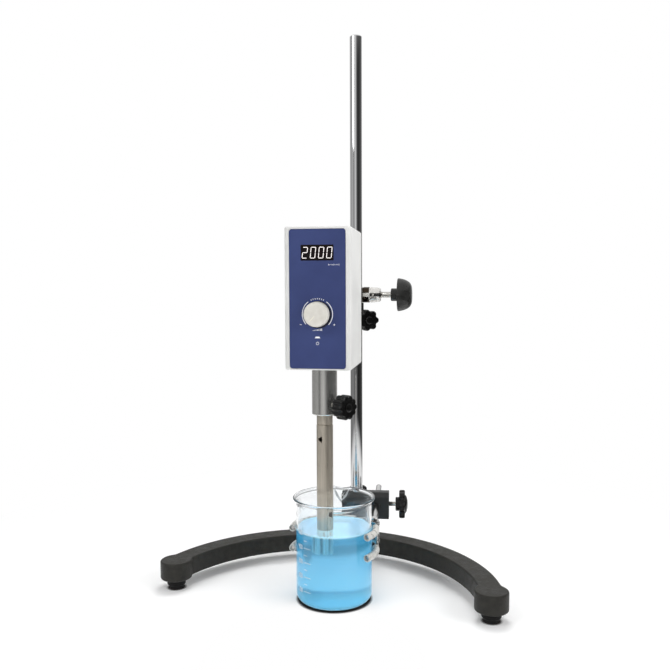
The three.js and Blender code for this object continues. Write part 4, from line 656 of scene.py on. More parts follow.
housing = dict(halfWidth=37.8, front=-43.5, rear=53.5, bottom=279.4, top=439, rearDrop=2, wall=3,
               frontRound=5, lip=1.6, rearRound=10, joint=39.35, jointGap=0.1, jointStep=0.35,
               cornerRound=2.2, sleeveHole=15.1)
airSlots = dict(count=6, lowest=387.5, pitch=7, width=40, height=3, corner=1.4)
inlet = dict(width=27.6, height=20.6, corner=1.5, centre=299.4)
panel = dict(width=63.2, bottom=281.3, top=436, corner=3, front=-43.8, back=-42.5, gap=0.7, recess=42.3,
             edge=0.25)
window = dict(width=37, height=17.5, corner=0.8, centre=410, front=-43.9, back=-42.6, edge=0.2)


def housingRing(depth, inset=0.0):
    size = housing
    front, rear = size["front"] + inset, size["rear"] - inset
    depth = min(max(depth, front), rear)

    def pulledIn(corner, away):
        corner = max(corner, 0.01)
        return corner - math.sqrt(max(corner ** 2 - max(corner - away, 0) ** 2, 0))

    atRear = pulledIn(size["rearRound"] - inset * 0.5, rear - depth)
    sides = pulledIn(size["frontRound"] - inset, depth - front) + atRear
    ends = pulledIn(max(size["lip"] - inset, 0.1), depth - front) + atRear
    half = size["halfWidth"] - inset - sides
    drop = size["rearDrop"] * (depth - size["front"]) / (size["rear"] - size["front"])
    low, high = size["bottom"] + inset + ends, size["top"] - inset - ends - drop
    corner = max(size["cornerRound"] - inset * 0.4, 0.6)
    return [(x, depth, z) for x, z in roundedOutline(2 * half, high - low, corner, 5, (0, (high + low) / 2))]


def housingRings(depths, inset=0.0):
    return [housingRing(depth, inset) for depth in depths]


def makeHousing():
    front, rear, wall, joint = (housing[name] for name in ("front", "rear", "wall", "joint"))
    gap, step = housing["jointGap"], housing["jointStep"]
    outer = housingRings([front + away for away in (0, 0.15, 0.5, 1.0, 1.6, 2.5, 3.6, 5, 8)])
    outer += housingRings([joint - away for away in (0.9, 0.4)]) + housingRings([joint - gap], step)
    inner = housingRings((joint - gap, 0, front + wall + 3, front + wall + 1, front + wall), wall)
    shell = addPiece("housing_front_shell", lofted(outer + inner), "head", "housingPlastic",
                     headPlace, ("housing_shell",))
    recess = roundedOutline(panel["width"] + panel["gap"], panel["top"] - panel["bottom"] + panel["gap"],
                            panel["corner"] + 0.3, 8, (0, (panel["top"] + panel["bottom"]) / 2))
    carve(shell, [moved(slabOf(recess, panel["recess"], 60), facingFront),
                  rodOf(housing["sleeveHole"], 272, 284, 64)], headPlace)
    outer = housingRings([joint + gap], step) + housingRings([joint + away for away in (0.4, 0.9, 2.5)])
    outer += housingRings([rear - away for away in (10, 8, 6.5, 5, 3.8, 2.8, 1.9, 1.2, 0.6, 0.2, 0)])
    inner = housingRings([rear - wall - away for away in (0, 0.8, 2.5, 5, 8)] + [joint + gap], wall)
    cover = addPiece("housing_rear_cover", lofted(inner + outer), "head", "housingPlastic",
                     headPlace, ("rear_cover",))
    cuts = []
    for row in range(airSlots["count"]):
        centre = (0, airSlots["lowest"] + airSlots["pitch"] * row)
        slot = roundedOutline(airSlots["width"], airSlots["height"], airSlots["corner"], 5, centre)
        cuts.append(slabOf(slot, 45, 60))
    opening = roundedOutline(inlet["width"], inlet["height"], inlet["corner"], 4, (0, inlet["centre"]))
    cuts.append(slabOf(opening, 40, 60))
    carve(cover, [moved(cut, facingBack) for cut in cuts], headPlace)


def onFront(outline, size):
    # a plate on the front wall; its front and back are depths behind the tool axis
    return moved(slabOf(outline, -size["back"], -size["front"]), facingFront)


def makePanel():
    outline = roundedOutline(panel["width"], panel["top"] - panel["bottom"], panel["corner"], 8,
                             (0, (panel["top"] + panel["bottom"]) / 2))
    addPiece("control_panel", onFront(outline, panel), "head", "bluePanel", headPlace,
             ("front_panel",), bevel=panel["edge"])
    outline = roundedOutline(window["width"], window["height"], window["corner"], 8, (0, window["centre"]))
    addPiece("display_glass", onFront(outline, window), "head", "windowGlass", headPlace,
             ("display_window",), bevel=window["edge"])


makeHousing()
makePanel()
print("housing and panel made")


# Display figures: four seven-segment digits, leaning a little

figures = dict(text="2000", width=5.2, height=11.9, pitch=9.15, stroke=0.7, gap=0.16, lean=0.1, front=-43.98,
               back=-43.85)
# the strokes of a figure, as (across, up) from -1 to 1
segments = dict(a=((-1, 1), (1, 1)), b=((1, 1), (1, 0)), c=((1, 0), (1, -1)), d=((-1, -1), (1, -1)),
                e=((-1, -1), (-1, 0)), f=((-1, 0), (-1, 1)), g=((-1, 0), (1, 0)))
litStrokes = {"0": "abcdef", "1": "bc", "2": "abged", "3": "abgcd", "4": "fgbc", "5": "afgcd"}


def segmentStrokes(character):
    wide, high, half = figures["width"] / 2, figures["height"] / 2, figures["stroke"] / 2
    strokes = []
    for name in litStrokes[character]:
        start, end = (Vector((x * wide, y * high)) for x, y in segments[name])
        along = (end - start).normalized()
        side = Vector((-along.y, along.x)) * half
        start, end = start + along * figures["gap"], end - along * figures["gap"]
        near, far = start + along * half, end - along * half
        strokes.append([start, near + side, far + side, end, far - side, near - side])
    return strokes


def makeFigures():
    shapes = []
    for at, character in enumerate(figures["text"]):
        across = (at - (len(figures["text"]) - 1) / 2) * figures["pitch"]
        for stroke in segmentStrokes(character):
            outline = [(across + x + figures["lean"] * y, window["centre"] + y) for x, y in stroke]
            shapes.append(onFront(outline, figures))
    addPiece("display_figures", together(*shapes), "head", "litSegments", headPlace)


# Printed marks: two arcs, minus, plus, ticks and bars, with no words, and a painted shadow ring round the
# speed knob

marks = dict(front=-43.88, back=-43.7, knobHeight=342, arcRadius=17.1, arcStroke=0.82,
             arcs=((127, 221), (-43, 53)))
signs = dict(aside=18.9, height=330.4, width=2.2, stroke=0.6, armAt=0.7, armLength=0.8)
ticks = dict(count=7, start=66, pitch=8, half=1.1, length=1.5)
bars = dict(count=7, left=-4.8, pitch=1.6, bottom=323.6, width=0.8, lowest=0.7, growth=0.3)
onOff = dict(centre=309.6, radius=1.5, stroke=0.42, start=118, end=422, lineCentre=310.8, lineLength=1.7)
cornerTicks = dict(count=9, left=12.8, pitch=1.45, height=396.6, width=0.42, long=1.7, short=1.0)
pushSign = [(-3.1, 315.3), (3.1, 315.3), (2.0, 317.1), (-2.0, 317.1)]
# a dark ring round the speed knob, set off right and down: a painted shadow of the knob on the panel
dialShadowRing = dict(inner=12.4, outer=15.3, aside=0.75, down=0.55, low=-0.1, high=0.05)


def arcStroke(radius, stroke, start, end, centre, steps=24):
    return (arcPoints(centre, radius + stroke / 2, start, end, steps)
            + arcPoints(centre, radius - stroke / 2, end, start, steps))


def barMark(x, z, width, height):
    return rectangle(x - width / 2, z - height / 2, x + width / 2, z + height / 2)


def makeMarks():
    knob, radius = (0, marks["knobHeight"]), marks["arcRadius"]
    aside, level, stroke = signs["aside"], signs["height"], signs["stroke"]
    outlines = [arcStroke(radius, marks["arcStroke"], start, end, knob) for start, end in marks["arcs"]]
    outlines += [barMark(side * aside, level, signs["width"], stroke) for side in (-1, 1)]
    outlines += [barMark(aside, level + away, stroke, signs["armLength"])
                 for away in (-signs["armAt"], signs["armAt"])]
    for tick in range(ticks["count"]):  # ticks over the knob
        angle = ticks["start"] + ticks["pitch"] * tick
        outlines.append(arcStroke(radius + 0.1, ticks["length"], angle - ticks["half"], angle + ticks["half"],
                                  knob, 2))
    for step in range(bars["count"]):  # rising bars under the knob
        tall = bars["lowest"] + bars["growth"] * step
        x = bars["left"] + bars["pitch"] * step
        outlines.append(barMark(x, bars["bottom"] + tall / 2, bars["width"], tall))
    outlines.append(pushSign)
    outlines.append(arcStroke(onOff["radius"], onOff["stroke"], onOff["start"], onOff["end"],
                              (0, onOff["centre"])))
    outlines.append(barMark(0, onOff["lineCentre"], onOff["stroke"], onOff["lineLength"]))
    for tick in range(cornerTicks["count"]):  # small ticks at the corner of the display
        tall = cornerTicks["short"] if tick % 4 else cornerTicks["long"]
        x = cornerTicks["left"] + cornerTicks["pitch"] * tick
        outlines.append(barMark(x, cornerTicks["height"], cornerTicks["width"], tall))
    shapes = [onFront(outline, marks) for outline in outlines]
    addPiece("panel_marks", together(*shapes), "head", "panelPrint", headPlace)
    # painted shadow: a dark ring round the knob, set off right and down
    ring = rectangle(dialShadowRing["inner"], dialShadowRing["low"], dialShadowRing["outer"], dialShadowRing["high"])
    place = shifted(dialShadowRing["aside"], panel["front"], marks["knobHeight"] - dialShadowRing["down"]) @ facingFront
    addPiece("panel_dial_painted_shadow", turned(softened(ring, 0.02, True), 96), "head", "dialPaintedShadow",
             headPlace @ place)


makeFigures()
makeMarks()
print("display and marks made")


# Speed knob: a fine fluted grip with a dished face and a pointer line

speedKnob = dict(radius=14.15, back=-45.6, depth=10, flutes=60, flute=0.32, height=342)
pointer = dict(angle=228, length=8.6, width=0.9, corner=0.44, centre=6.6, low=0.42, high=0.3)


def makeSpeedKnob():
    size = speedKnob
    deep = size["depth"]

    def fluted(away, inset, share):
        def reachAt(angle):
            wave = 0.5 - 0.5 * math.cos(size["flutes"] * angle)
            return size["radius"] - inset - size["flute"] * share * wave
        return ringOf(size["flutes"] * 6, away, reachAt)

    rings = [fluted(0, 1.2, 0), fluted(0, 0.5, 0), fluted(0.4, 0.05, 0.3), fluted(0.9, 0, 1)]
    for below, inset, share in ((1.5, 0.25, 1), (0.9, 0.45, 0.6), (0.35, 0.9, 0.1), (0, 1.7, 0), (0, 2.2, 0),
                                (0.25, 2.9, 0), (0.4, 6, 0), (0.4, 13.6, 0)):
        rings.append(fluted(deep - below, inset, share))
    place = headPlace @ shifted(0, size["back"], size["height"]) @ facingFront
    addPiece("speed_knob_grip", lofted(rings), "speed_dial", "speedPlastic", place,
             ("speed_knob",), 45)
    line = roundedOutline(pointer["length"], pointer["width"], pointer["corner"], 4, (pointer["centre"], 0))
    addPiece("speed_knob_pointer", slabOf(line, deep - pointer["low"], deep - pointer["high"]), "speed_dial",
             "pointerPaint", place @ rotated(pointer["angle"]))


makeSpeedKnob()
print("speed knob made")


# Support rod, sleeve and dispersing tool

supportRod = dict(radius=6, chamfer=1.2, start=53.8, end=191.5, height=360.5)
sleeve = dict(radius=14.75, bore=9.7, bottom=222.8, top=287.7, flange=25, flangeBottom=282.7, knobAzimuth=-34,
              knobHeight=234.3, knobGap=5.5, screwHole=3.4)
tool = dict(radius=9.7, neck=9.4, bore=7.6, bottom=60, joint=210.7, groove=1.1, grooveHeight=1.3, top=264.4,
            teeth=13, toothHalf=0.55)
stator = dict(top=84.5, gap=0.3, bore=7.9, chamberTop=80.6, spigotBore=5.2, spigotHeight=9, slots=7,
              slotWidth=2.8, slotHeight=20, slotInner=3.8, slotOuter=12, slotAzimuth=-91)
vents = ((-112, 194.3), (-34, 105))  # compass direction and height
ventCut = dict(radius=2.4, inner=4, outer=14, bell=[(-3.9, -2.0), (3.9, -2.0), (0.9, 3.4), (-0.9, 3.4)])


def makeSleeve():
    rod = chamferedRod((supportRod["radius"], supportRod["chamfer"]), supportRod["start"], supportRod["end"],
                       64, 0.4)
    addPiece("support_rod_bar", rod, "head", "polishedSteel",
             headPlace @ aimed((0, 1, 0), (0, 0, supportRod["height"])), ("support_rod",))
    bore, radius, low, flangeLow = (sleeve[name] for name in ("bore", "radius", "bottom", "flangeBottom"))
    profile = [(bore, low), (radius - 1.2, low), (radius, low + 1.2), (radius, flangeLow),
               (sleeve["flange"], flangeLow), (sleeve["flange"], sleeve["top"]), (bore, sleeve["top"])]
    body = addPiece("tool_sleeve_body", turned(softened(profile, 0.3, True), 96), "head", "sleeveSteel",
                    headPlace, ("tool_sleeve",))
    across, height = azimuth(sleeve["knobAzimuth"]), sleeve["knobHeight"]
    carve(body, [moved(rodOf(sleeve["screwHole"], 5, 20, 32), aimed(across, (0, 0, height)))], headPlace)
    addKnob("sleeve_knob", sleeveKnob, "tool_knob", across, radius + sleeve["knobGap"], bore,
            headPlace @ shifted(0, 0, height))


def ventShapes():
    shapes = []
    for angle, height in vents:
        outward = Vector(azimuth(angle))
        upward = Vector((0, 0, 1))
        stand = Matrix((upward, outward.cross(upward), outward)).transposed().to_4x4()
        for cut in (rodOf(ventCut["radius"], ventCut["inner"], ventCut["outer"], 40),
                    slabOf(ventCut["bell"], ventCut["inner"], ventCut["outer"])):
            shapes.append(moved(cut, shifted(0, 0, height) @ stand))
    return shapes


def makeTool():
    bore, radius, neck, joint = (tool[name] for name in ("bore", "radius", "neck", "joint"))
    low, jointTop = stator["top"] + stator["gap"], joint + tool["grooveHeight"]
    groove = radius - tool["groove"]
    profile = [(bore, low), (radius, low), (radius, joint), (groove, joint), (groove, jointTop),
               (neck, jointTop), (neck, tool["top"]), (bore, tool["top"])]
    tube = addPiece("tool_tube_body", turned(softened(profile, 0.15, True), 96), "head", "toolSteel",
                    headPlace, ("tool_tube",))
    carve(tube, ventShapes(), headPlace)
    half = tool["toothHalf"]  # bridges across the groove give its dashed look
    tooth = slabOf([(groove - 0.3, -half), (groove + 0.5, 0.05 - half), (groove + 0.5, half - 0.05),
                    (groove - 0.3, half)], joint - 0.1, jointTop + 0.1)
    teeth = [moved(tooth, rotated(360 * at / tool["teeth"])) for at in range(tool["teeth"])]
    addPiece("tool_joint_bridges", together(*teeth), "head", "toolSteel", headPlace)


def makeStator():
    bore, top, chamberTop, spigotBore = (stator[name] for name in ("bore", "top", "chamberTop", "spigotBore"))
    bottom, spigot, spigotTop = tool["bottom"], tool["bore"] - stator["gap"], top + stator["spigotHeight"]
    profile = [(bore, bottom), (tool["radius"], bottom), (tool["radius"], top), (spigot, top),
               (spigot, spigotTop), (spigotBore, spigotTop), (spigotBore, chamberTop), (bore, chamberTop)]
    body = addPiece("stator_head_body", turned(softened(profile, 0.25, True), 96), "head", "statorSteel",
                    headPlace, ("stator_head",))
    half = stator["slotWidth"] / 2
    bar = slabOf(rectangle(stator["slotInner"], -half, stator["slotOuter"], half), bottom - 2,
                 bottom + stator["slotHeight"])
    carve(body, [moved(bar, rotated(stator["slotAzimuth"] + 360 * slot / stator["slots"]))
                 for slot in range(stator["slots"])], headPlace)


makeSleeve()
makeTool()
makeStator()
print("sleeve and tool made")


# Beaker with its scale, and the liquid

beaker = dict(radius=45.1, height=124, wall=1.9, floor=2.6, corner=10, rimReach=3.6, bead=1.4)
spout = dict(azimuth=87, half=8.5, reach=9.5, dip=4.5, start=104, foldHalf=11, foldRadius=1.35, foldTop=3,
             foldDrops=((1, 17), (-1, 15)), foldSteps=14)
liquidFill = dict(level=86.5, overlap=0.25, meniscus=1.3)
scale = dict(azimuth=-132, lowest=19.7, pitch=8.53, steps=9, long=11, short=6, half=0.3, left=-11.5,
             numbers=("100", "200", "300", "400", "500"), digitHeight=4.4, low=-0.05, high=0.09)
wallHeights = (30, 60, 86)


def withSpout(point):
    # draws a point of the wall out into the spout, more so towards the rim
    x, y, z = point
    rise = (z - spout["start"]) / (beaker["height"] - spout["start"])
    if rise <= 0:
        return point
    away = (math.degrees(math.atan2(y, x)) - spout["azimuth"]) / spout["half"]
    swell = math.exp(-away * away) * min(rise, 1) ** 2
    grow = 1 + spout["reach"] * swell / math.hypot(x, y)
    return x * grow, y * grow, z - spout["dip"] * swell


def spoutFolds():
    # thick glass drawn out along both sides of the spout, from the rim down to its root, made whitish as a
    # painted highlight
    steps = spout["foldSteps"]
    shapes = []
    for side, drop in spout["foldDrops"]:
        path = []
        for step in range(steps + 1):
            share = step / steps
            angle = radian(spout["azimuth"] + side * spout["foldHalf"] * (1 - share ** 1.5))
            height = beaker["height"] - spout["foldTop"] - drop * share
            path.append(withSpout(onCircle(beaker["radius"], angle, height)))
        rings = []
        for at, here in enumerate(path):
            thick = spout["foldRadius"] * (0.35 + 0.65 * math.sin(math.pi * (at + 1) / (steps + 2)))
            place = aimed(aheadOn(path, at), here)
            rings.append([tuple(place @ Vector(point)) for point in ringOf(12, 0, lambda angle: thick)])
        shapes.append(lofted(rings))
    return together(*shapes)


def glassProfile():
    radius, bead, corner = beaker["radius"], beaker["bead"], beaker["corner"]
    inner, rim, top = radius - beaker["wall"], radius + beaker["rimReach"] - bead, beaker["height"] - bead
    outside = [(0, 1.2), (radius - corner - 5, 1.2), (radius - corner - 1.5, 0.25)]
    outside += arcPoints((radius - corner, corner), corner, -90, 0, 10)
    outside += [(radius, height) for height in (*wallHeights, spout["start"])]
    outside += [(radius + 0.05, top - 6), (radius + 0.6, top - 3.6), (rim - 0.4, top - 1.6)]
    lip = arcPoints((rim, top), bead, -40, 180, 12)
    inside = [(inner + 1.4, top - 2.8), (inner + 0.5, top - 4.6), (inner, top - 8),
              (inner, spout["start"] - 4)]
    inside += [(inner, height) for height in reversed(wallHeights)]
    corner -= beaker["wall"]
    inside += arcPoints((inner - corner, beaker["floor"] + corner), corner, 0, -90, 10)
    return outside + lip + inside + [(0, beaker["floor"])]


def liquidProfile():
    overlap, level, climb = liquidFill["overlap"], liquidFill["level"], liquidFill["meniscus"]
    full, low = beaker["radius"] - beaker["wall"] + overlap, beaker["floor"] - overlap
    corner = beaker["corner"] - beaker["wall"] + overlap
    profile = [(0, low)] + arcPoints((full - corner, low + corner), corner, -90, 0, 10)
    profile += [(full, height) for height in (30, 60, level + climb)]
    return profile + [(full - 0.5, level + climb * 0.45), (full - 1.4, level + 0.15), (full - 3, level),
                      (14, level), (0, level)]


def wrapped(outline, height):
    # lays a flat outline on the outside of the beaker, round its scale's azimuth
    rings = []
    for lift in (scale["low"], scale["high"]):
        reach, middle = beaker["radius"] + lift, radian(scale["azimuth"])
        rings.append([onCircle(reach, middle + x / beaker["radius"], height + z) for x, z in outline])
    return lofted(rings)


def makeScale():
    half, size = scale["half"], scale["digitHeight"] / 4
    shapes = []
    for step in range(scale["steps"]):
        across = [(scale["short"] if step % 2 else scale["long"]) * at / 9 for at in range(10)]
        outline = [(x, -half) for x in across] + [(x, half) for x in reversed(across)]
        shapes.append(wrapped(outline, scale["lowest"] + scale["pitch"] * step))
    for row, number in enumerate(scale["numbers"]):
        height = scale["lowest"] + scale["pitch"] * 2 * row - scale["digitHeight"] / 2
        for at, digit in enumerate(number):
            start = scale["left"] + at * size * 3
            for name in litStrokes[digit]:
                xs = [(x + 1) * size for x, _ in segments[name]]
                zs = [(z + 1) * 2 * size for _, z in segments[name]]
                left, right, low, high = min(xs) - half, max(xs) + half, min(zs) - half, max(zs) + half
                across = [start + x for x in (left, (left + right) / 2, right)]
                outline = [(x, low) for x in across] + [(x, high) for x in reversed(across)]
                shapes.append(wrapped(outline, height))
    marksOnGlass = together(*shapes)
    addPiece("beaker_scale", marksOnGlass, "beaker_and_liquid", "whitePrint", beakerPlace)


def makeBeaker():
    body = "beaker_and_liquid"
    points, faces = turned(glassProfile(), 144)
    glass = [withSpout(point) for point in points], faces
    addPiece("beaker_glass", glass, body, "beakerGlass", beakerPlace, ("beaker",), 60)
    addPiece("beaker_spout_fold_highlights", spoutFolds(), body, "foldHighlightGlass", beakerPlace)
    liquid = turned(liquidProfile(), 144)
    addPiece("blue_liquid_body", liquid, body, "blueLiquid", beakerPlace, ("liquid",), 60)


makeBeaker()
makeScale()
print("beaker and liquid made")


# Beaker holder: bosshead, rod, two jaws of sleeved fingers

bosshead = dict(left=18, right=44.13, depth=23, bottom=58, height=35, chamfer=5.5, edge=1.0, columnBore=8.3,
                rodBore=4.3, knobGap=8.9)
grip = dict(centre=(-18.2452, -139.066), track=49.9, barTrack=54, hub=(27.3, -109), hubAzimuth=33.43,
            barAngle=12.5, blend=9, hubBottom=66, hubTop=84, upper=84, lower=59.5, wire=2.6,
            sleeveRadius=4.25, sleeveBore=3.05)
holderRod = dict(radius=4, chamfer=0.8, height=76, start=3.9, back=88)
jawSize = dict(hub=6.6, barrel=5.6, bar=2.9, barEnd=3.6, plate=3, plateGap=0.3)
fingers = {"fixed": dict(side=1, end=178, sleeveStart=62, sleeveEnd=180.5),
           "moving": dict(side=-1, end=-34, sleeveStart=9, sleeveEnd=-36.5)}


def fingerPath(start, end, height, steps, blend=True):
    path = []
    for step in range(steps + 1):
        turn = start + (end - start) * step / steps
        settled = min(abs(turn - start) / grip["blend"], 1) if blend else 1
        ease = settled * settled * (3 - 2 * settled)
        track = grip["barTrack"] + (grip["track"] - grip["barTrack"]) * ease
        path.append(onCircle(track, radian(turn), height, grip["centre"]))
    return path


def linkOutline(start, end, radius, endRadius):
    span = Vector(end) - Vector(start)
    lean = math.acos((radius - endRadius) / span.length)
    facing = math.atan2(span.y, span.x)
    outline = []
    for centre, size, first, last in ((start, radius, lean, fullTurn - lean), (end, endRadius, -lean, lean)):
        angles = [facing + first + (last - first) * step / 16 for step in range(17)]
        outline += [onCircle(size, angle, centre=centre) for angle in angles]
    return outline


def uprightRod(place, radius, bottom, top):
    return moved(rodOf(radius, bottom, top, 32, 0.6), shifted(*place, 0))


def makeBosshead():
    size = bosshead
    middle = size["bottom"] + size["height"] / 2
    half, high, chamfer = size["depth"] / 2, size["height"] / 2, size["chamfer"]
    outline = [(-half, -high), (half, -high), (half, high - chamfer), (half - chamfer, high),
               (chamfer - half, high), (-half, high - chamfer)]
    lying = Matrix(((0, 0, 1, 0), (1, 0, 0, 0), (0, 1, 0, middle), (0, 0, 0, 1)))
    block = addPiece("bosshead_block", moved(slabOf(outline, -size["left"], size["right"]), lying),
                     "beaker_holder", "bossheadPaint", holderPlace, ("bosshead",))
    rodPlace = aimed((0, 1, 0), (grip["hub"][0], 0, holderRod["height"]))
    bores = [rodOf(size["columnBore"], 40, 120, 64), moved(rodOf(size["rodBore"], -30, 30, 48), rodPlace)]
    carve(block, bores, holderPlace, 40)
    addBevel(block, size["edge"], 3, 30)
    rod = chamferedRod((holderRod["radius"], holderRod["chamfer"]), grip["hub"][1] + holderRod["start"],
                       holderRod["back"], 48, 0.5)
    addPiece("holder_rod_bar", rod, "beaker_holder", "polishedSteel",
             holderPlace @ rodPlace, ("holder_rod",))


def makeJaws():
    low, top, lowest = grip["hubBottom"], grip["hubTop"], grip["lower"] - grip["wire"]
    gap, reach = jawSize["plateGap"], jawSize["plateGap"] + jawSize["plate"]
    for name, jaw in fingers.items():
        start = grip["hubAzimuth"] + jaw["side"] * grip["barAngle"]
        bar = onCircle(grip["barTrack"], radian(start), centre=grip["centre"])
        if name == "fixed":
            barrel = linkOutline(grip["hub"], bar, jawSize["barrel"], jawSize["barEnd"])
            parts = [uprightRod(grip["hub"], jawSize["hub"], low, top),
                     uprightRod(bar, jawSize["bar"], lowest, grip["upper"] + grip["wire"]),
                     slabOf(barrel, low + 1, top - 1)]
            body = "beaker_holder"
        else:
            plate = linkOutline(grip["hub"], bar, jawSize["hub"], jawSize["barEnd"])
            parts = [uprightRod(bar, jawSize["bar"], lowest, top + reach),
                     slabOf(plate, low - reach, low - gap), slabOf(plate, top + gap, top + reach)]
            body = "holder_jaw"
        steps = int(abs(jaw["end"] - grip["hubAzimuth"]) / 3)
        parts += [tubeAlong(fingerPath(start, jaw["end"], grip[level], steps), grip["wire"], 20)
                  for level in ("upper", "lower")]
        addPiece(f"{name}_jaw_wires", together(*parts), body, "jawSteel", holderPlace,
                 (f"{name}_jaw",), 40, bevel=0.35)
        for level in ("upper", "lower"):
            path = fingerPath(jaw["sleeveStart"], jaw["sleeveEnd"], grip[level], 40, False)
            vinyl = tubeAlong(path, grip["sleeveRadius"], 28, grip["sleeveBore"])
            addPiece(f"{name}_{level}_vinyl", vinyl, body, "fingerVinyl", holderPlace,
                     (f"{name}_sleeve_{level}",), 50, bevel=0.2)


makeBosshead()
makeJaws()
addKnob("holder_rod_knob", wingKnob, "rod_lock", (1, 0, 0), bosshead["right"] + bosshead["knobGap"],
        grip["hub"][0] + bosshead["rodBore"], holderPlace @ shifted(0, 0, holderRod["height"]), 9)
addKnob("holder_column_knob", wingKnob, "column_lock", (0, 1, 0), bosshead["depth"] / 2 + bosshead["knobGap"],
        bosshead["columnBore"], holderPlace @ shifted(0, 0, bosshead["bottom"] + bosshead["height"] / 2), 2)
print("beaker holder made")


# CAD pieces that stay: inner works and small fittings get their finishes here

innerFinishes = dict(column_screw="clampChrome", display_module="blackPlastic", speed_encoder="blackPlastic",
                     speed_spindle="brassContacts", control_board="boardGreen", power_inlet="blackPlastic",
                     rod_flange="housingPlastic", motor_can="motorSteel", motor_end="motorSteel",
                     lower_bearing="polishedSteel", upper_bearing="polishedSteel", brush_left="graphite",
                     brush_right="graphite", motor_shaft="polishedSteel", armature="copperWindings",
                     cooling_fan="blackPlastic", shaft_coupling="motorSteel", tool_shaft="polishedSteel",
                     rotor_head="rotorSteel", upper_bush="paleBush", lower_bush="paleBush",
                     jaw_pin="polishedSteel")
innerEdge = dict(width=0.3, segments=2, angle=35)
for nodeName, finishName in innerFinishes.items():
    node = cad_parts[nodeName]
    for materialSlot in node.material_slots:
        materialSlot.material = finishes[finishName]
    addBevel(node, **innerEdge)
print("inner pieces finished")


# Camera, floor, light

view = dict(place=(139.3, -1039.9, 377), yaw=9.2, pitch=3.85, roll=-0.22, lens=41.9)
floorLook = dict(colour=(248, 248, 248), contactShadowColour=(50, 44, 42), reach=12, level=-0.0002, lift=0.1,
                 throughGlass=0.7)
# places on the floor in metres: where it fades to white, a painted bright pool in front, and the painted
# contact shadow
fade = dict(centre=(0, -0.08), start=0.26, end=0.62, mirrorStart=0.38, mirrorEnd=0.62)
# a painted pool of light in front of the beaker, seen by camera rays, over the shadow that falls there
pool = dict(centre=(-0.0085, -0.29), start=0.11, end=0.17)
# painted contact shadow on the floor, driven by ambient occlusion
contact = dict(reach=0.0075, dark=0.45, clear=0.8, samples=16)
light = dict(world=0.46, mirroredFloor=0.5, ceiling=0.85, steepStart=0.35, steepEnd=0.6)
lamps = {
    "key_softbox": dict(place=(-1.1, -1.2, 1.3), target=(0, -0.1, 0.3), size=0.8, power=9, mirrored=True),
    "fill_softbox": dict(place=(1.4, -0.7, 0.9), target=(0, -0.1, 0.3), size=0.9, power=11, mirrored=False),
    "top_softbox": dict(place=(0.05, 0.45, 1.9), target=(0, -0.1, 0.1), size=0.8, power=15, mirrored=False),
}
# what polished metal mirrors, by compass direction in degrees: a bright side and a dark one
bands = ((-180, 0.5), (-157, 0.6), (-142, 0.62), (-132, 0.45), (-124, 0.22), (-116, 0.45), (-106, 0.8),
         (-90, 0.9), (-80, 0.62), (-72, 0.3), (-60, 0.08), (-45, 0.04), (-16, 0.06), (7, 0.1), (25, 0.14),
         (39, 0.2), (55, 0.45), (70, 0.8), (95, 0.9), (120, 0.75), (141, 0.58), (165, 0.5), (180, 0.5))


def makeCamera():
    yaw, pitch, roll = radian(view["yaw"]), radian(view["pitch"]), radian(view["roll"])
    forward = Vector((-math.sin(yaw) * math.cos(pitch), math.cos(yaw) * math.cos(pitch), -math.sin(pitch)))
    right = Vector((math.cos(yaw), math.sin(yaw), 0))
    up = right.cross(forward)
    across = right * math.cos(roll) + up * math.sin(roll)
    upward = up * math.cos(roll) - right * math.sin(roll)
    turn = Matrix((across, upward, -forward)).transposed().to_4x4()
    camera = bpy.data.objects.new("photo_camera", bpy.data.cameras.new("photo_camera"))
    camera.data.lens = view["lens"]
    camera.data.sensor_width = 36
    camera.data.clip_end = 50
    camera.matrix_world = shifted(*(Vector(view["place"]) * mm)) @ turn
    bpy.context.scene.collection.objects.link(camera)
    bpy.context.scene.camera = camera


def mathsOf(tree, operation, first, second):
    return addNode(tree, "ShaderNodeMath", first, second, operation=operation).outputs[0]


def eased(tree, value, start, end, low=0, high=1):
    # rises smoothly from low to high while the value goes from start to end
    share = addNode(tree, "ShaderNodeMapRange", value, start, end, low, high, interpolation_type="SMOOTHSTEP")
    return share.outputs["Result"]


def mixed(tree, share, first, second):
    return addNode(tree, "ShaderNodeMixShader", share, first, second).outputs[0]


def distanceFrom(tree, where, centre):
    centred = addNode(tree, "ShaderNodeMapping", Vector=where, Location=(-centre[0], -centre[1], 0))
    away = addNode(tree, "ShaderNodeVectorMath", centred.outputs["Vector"], operation="LENGTH")
    return away.outputs["Value"]


def raysOf(tree):
    rays = addNode(tree, "ShaderNodeLightPath").outputs
    return rays["Is Camera Ray"], rays["Is Glossy Ray"], rays["Is Transmission Ray"]


def mirroredBands(tree, direction):
    split = addNode(tree, "ShaderNodeSeparateXYZ", Vector=direction).outputs
    angle = mathsOf(tree, "ARCTAN2", split["Y"], split["X"])
    share = addNode(tree, "ShaderNodeMapRange", angle, -math.pi, math.pi, 0, 1).outputs["Result"]
    stops = [((degrees + 180) / 360, (value, value, value, 1)) for degrees, value in bands]
    return rampOf(tree, share, stops)


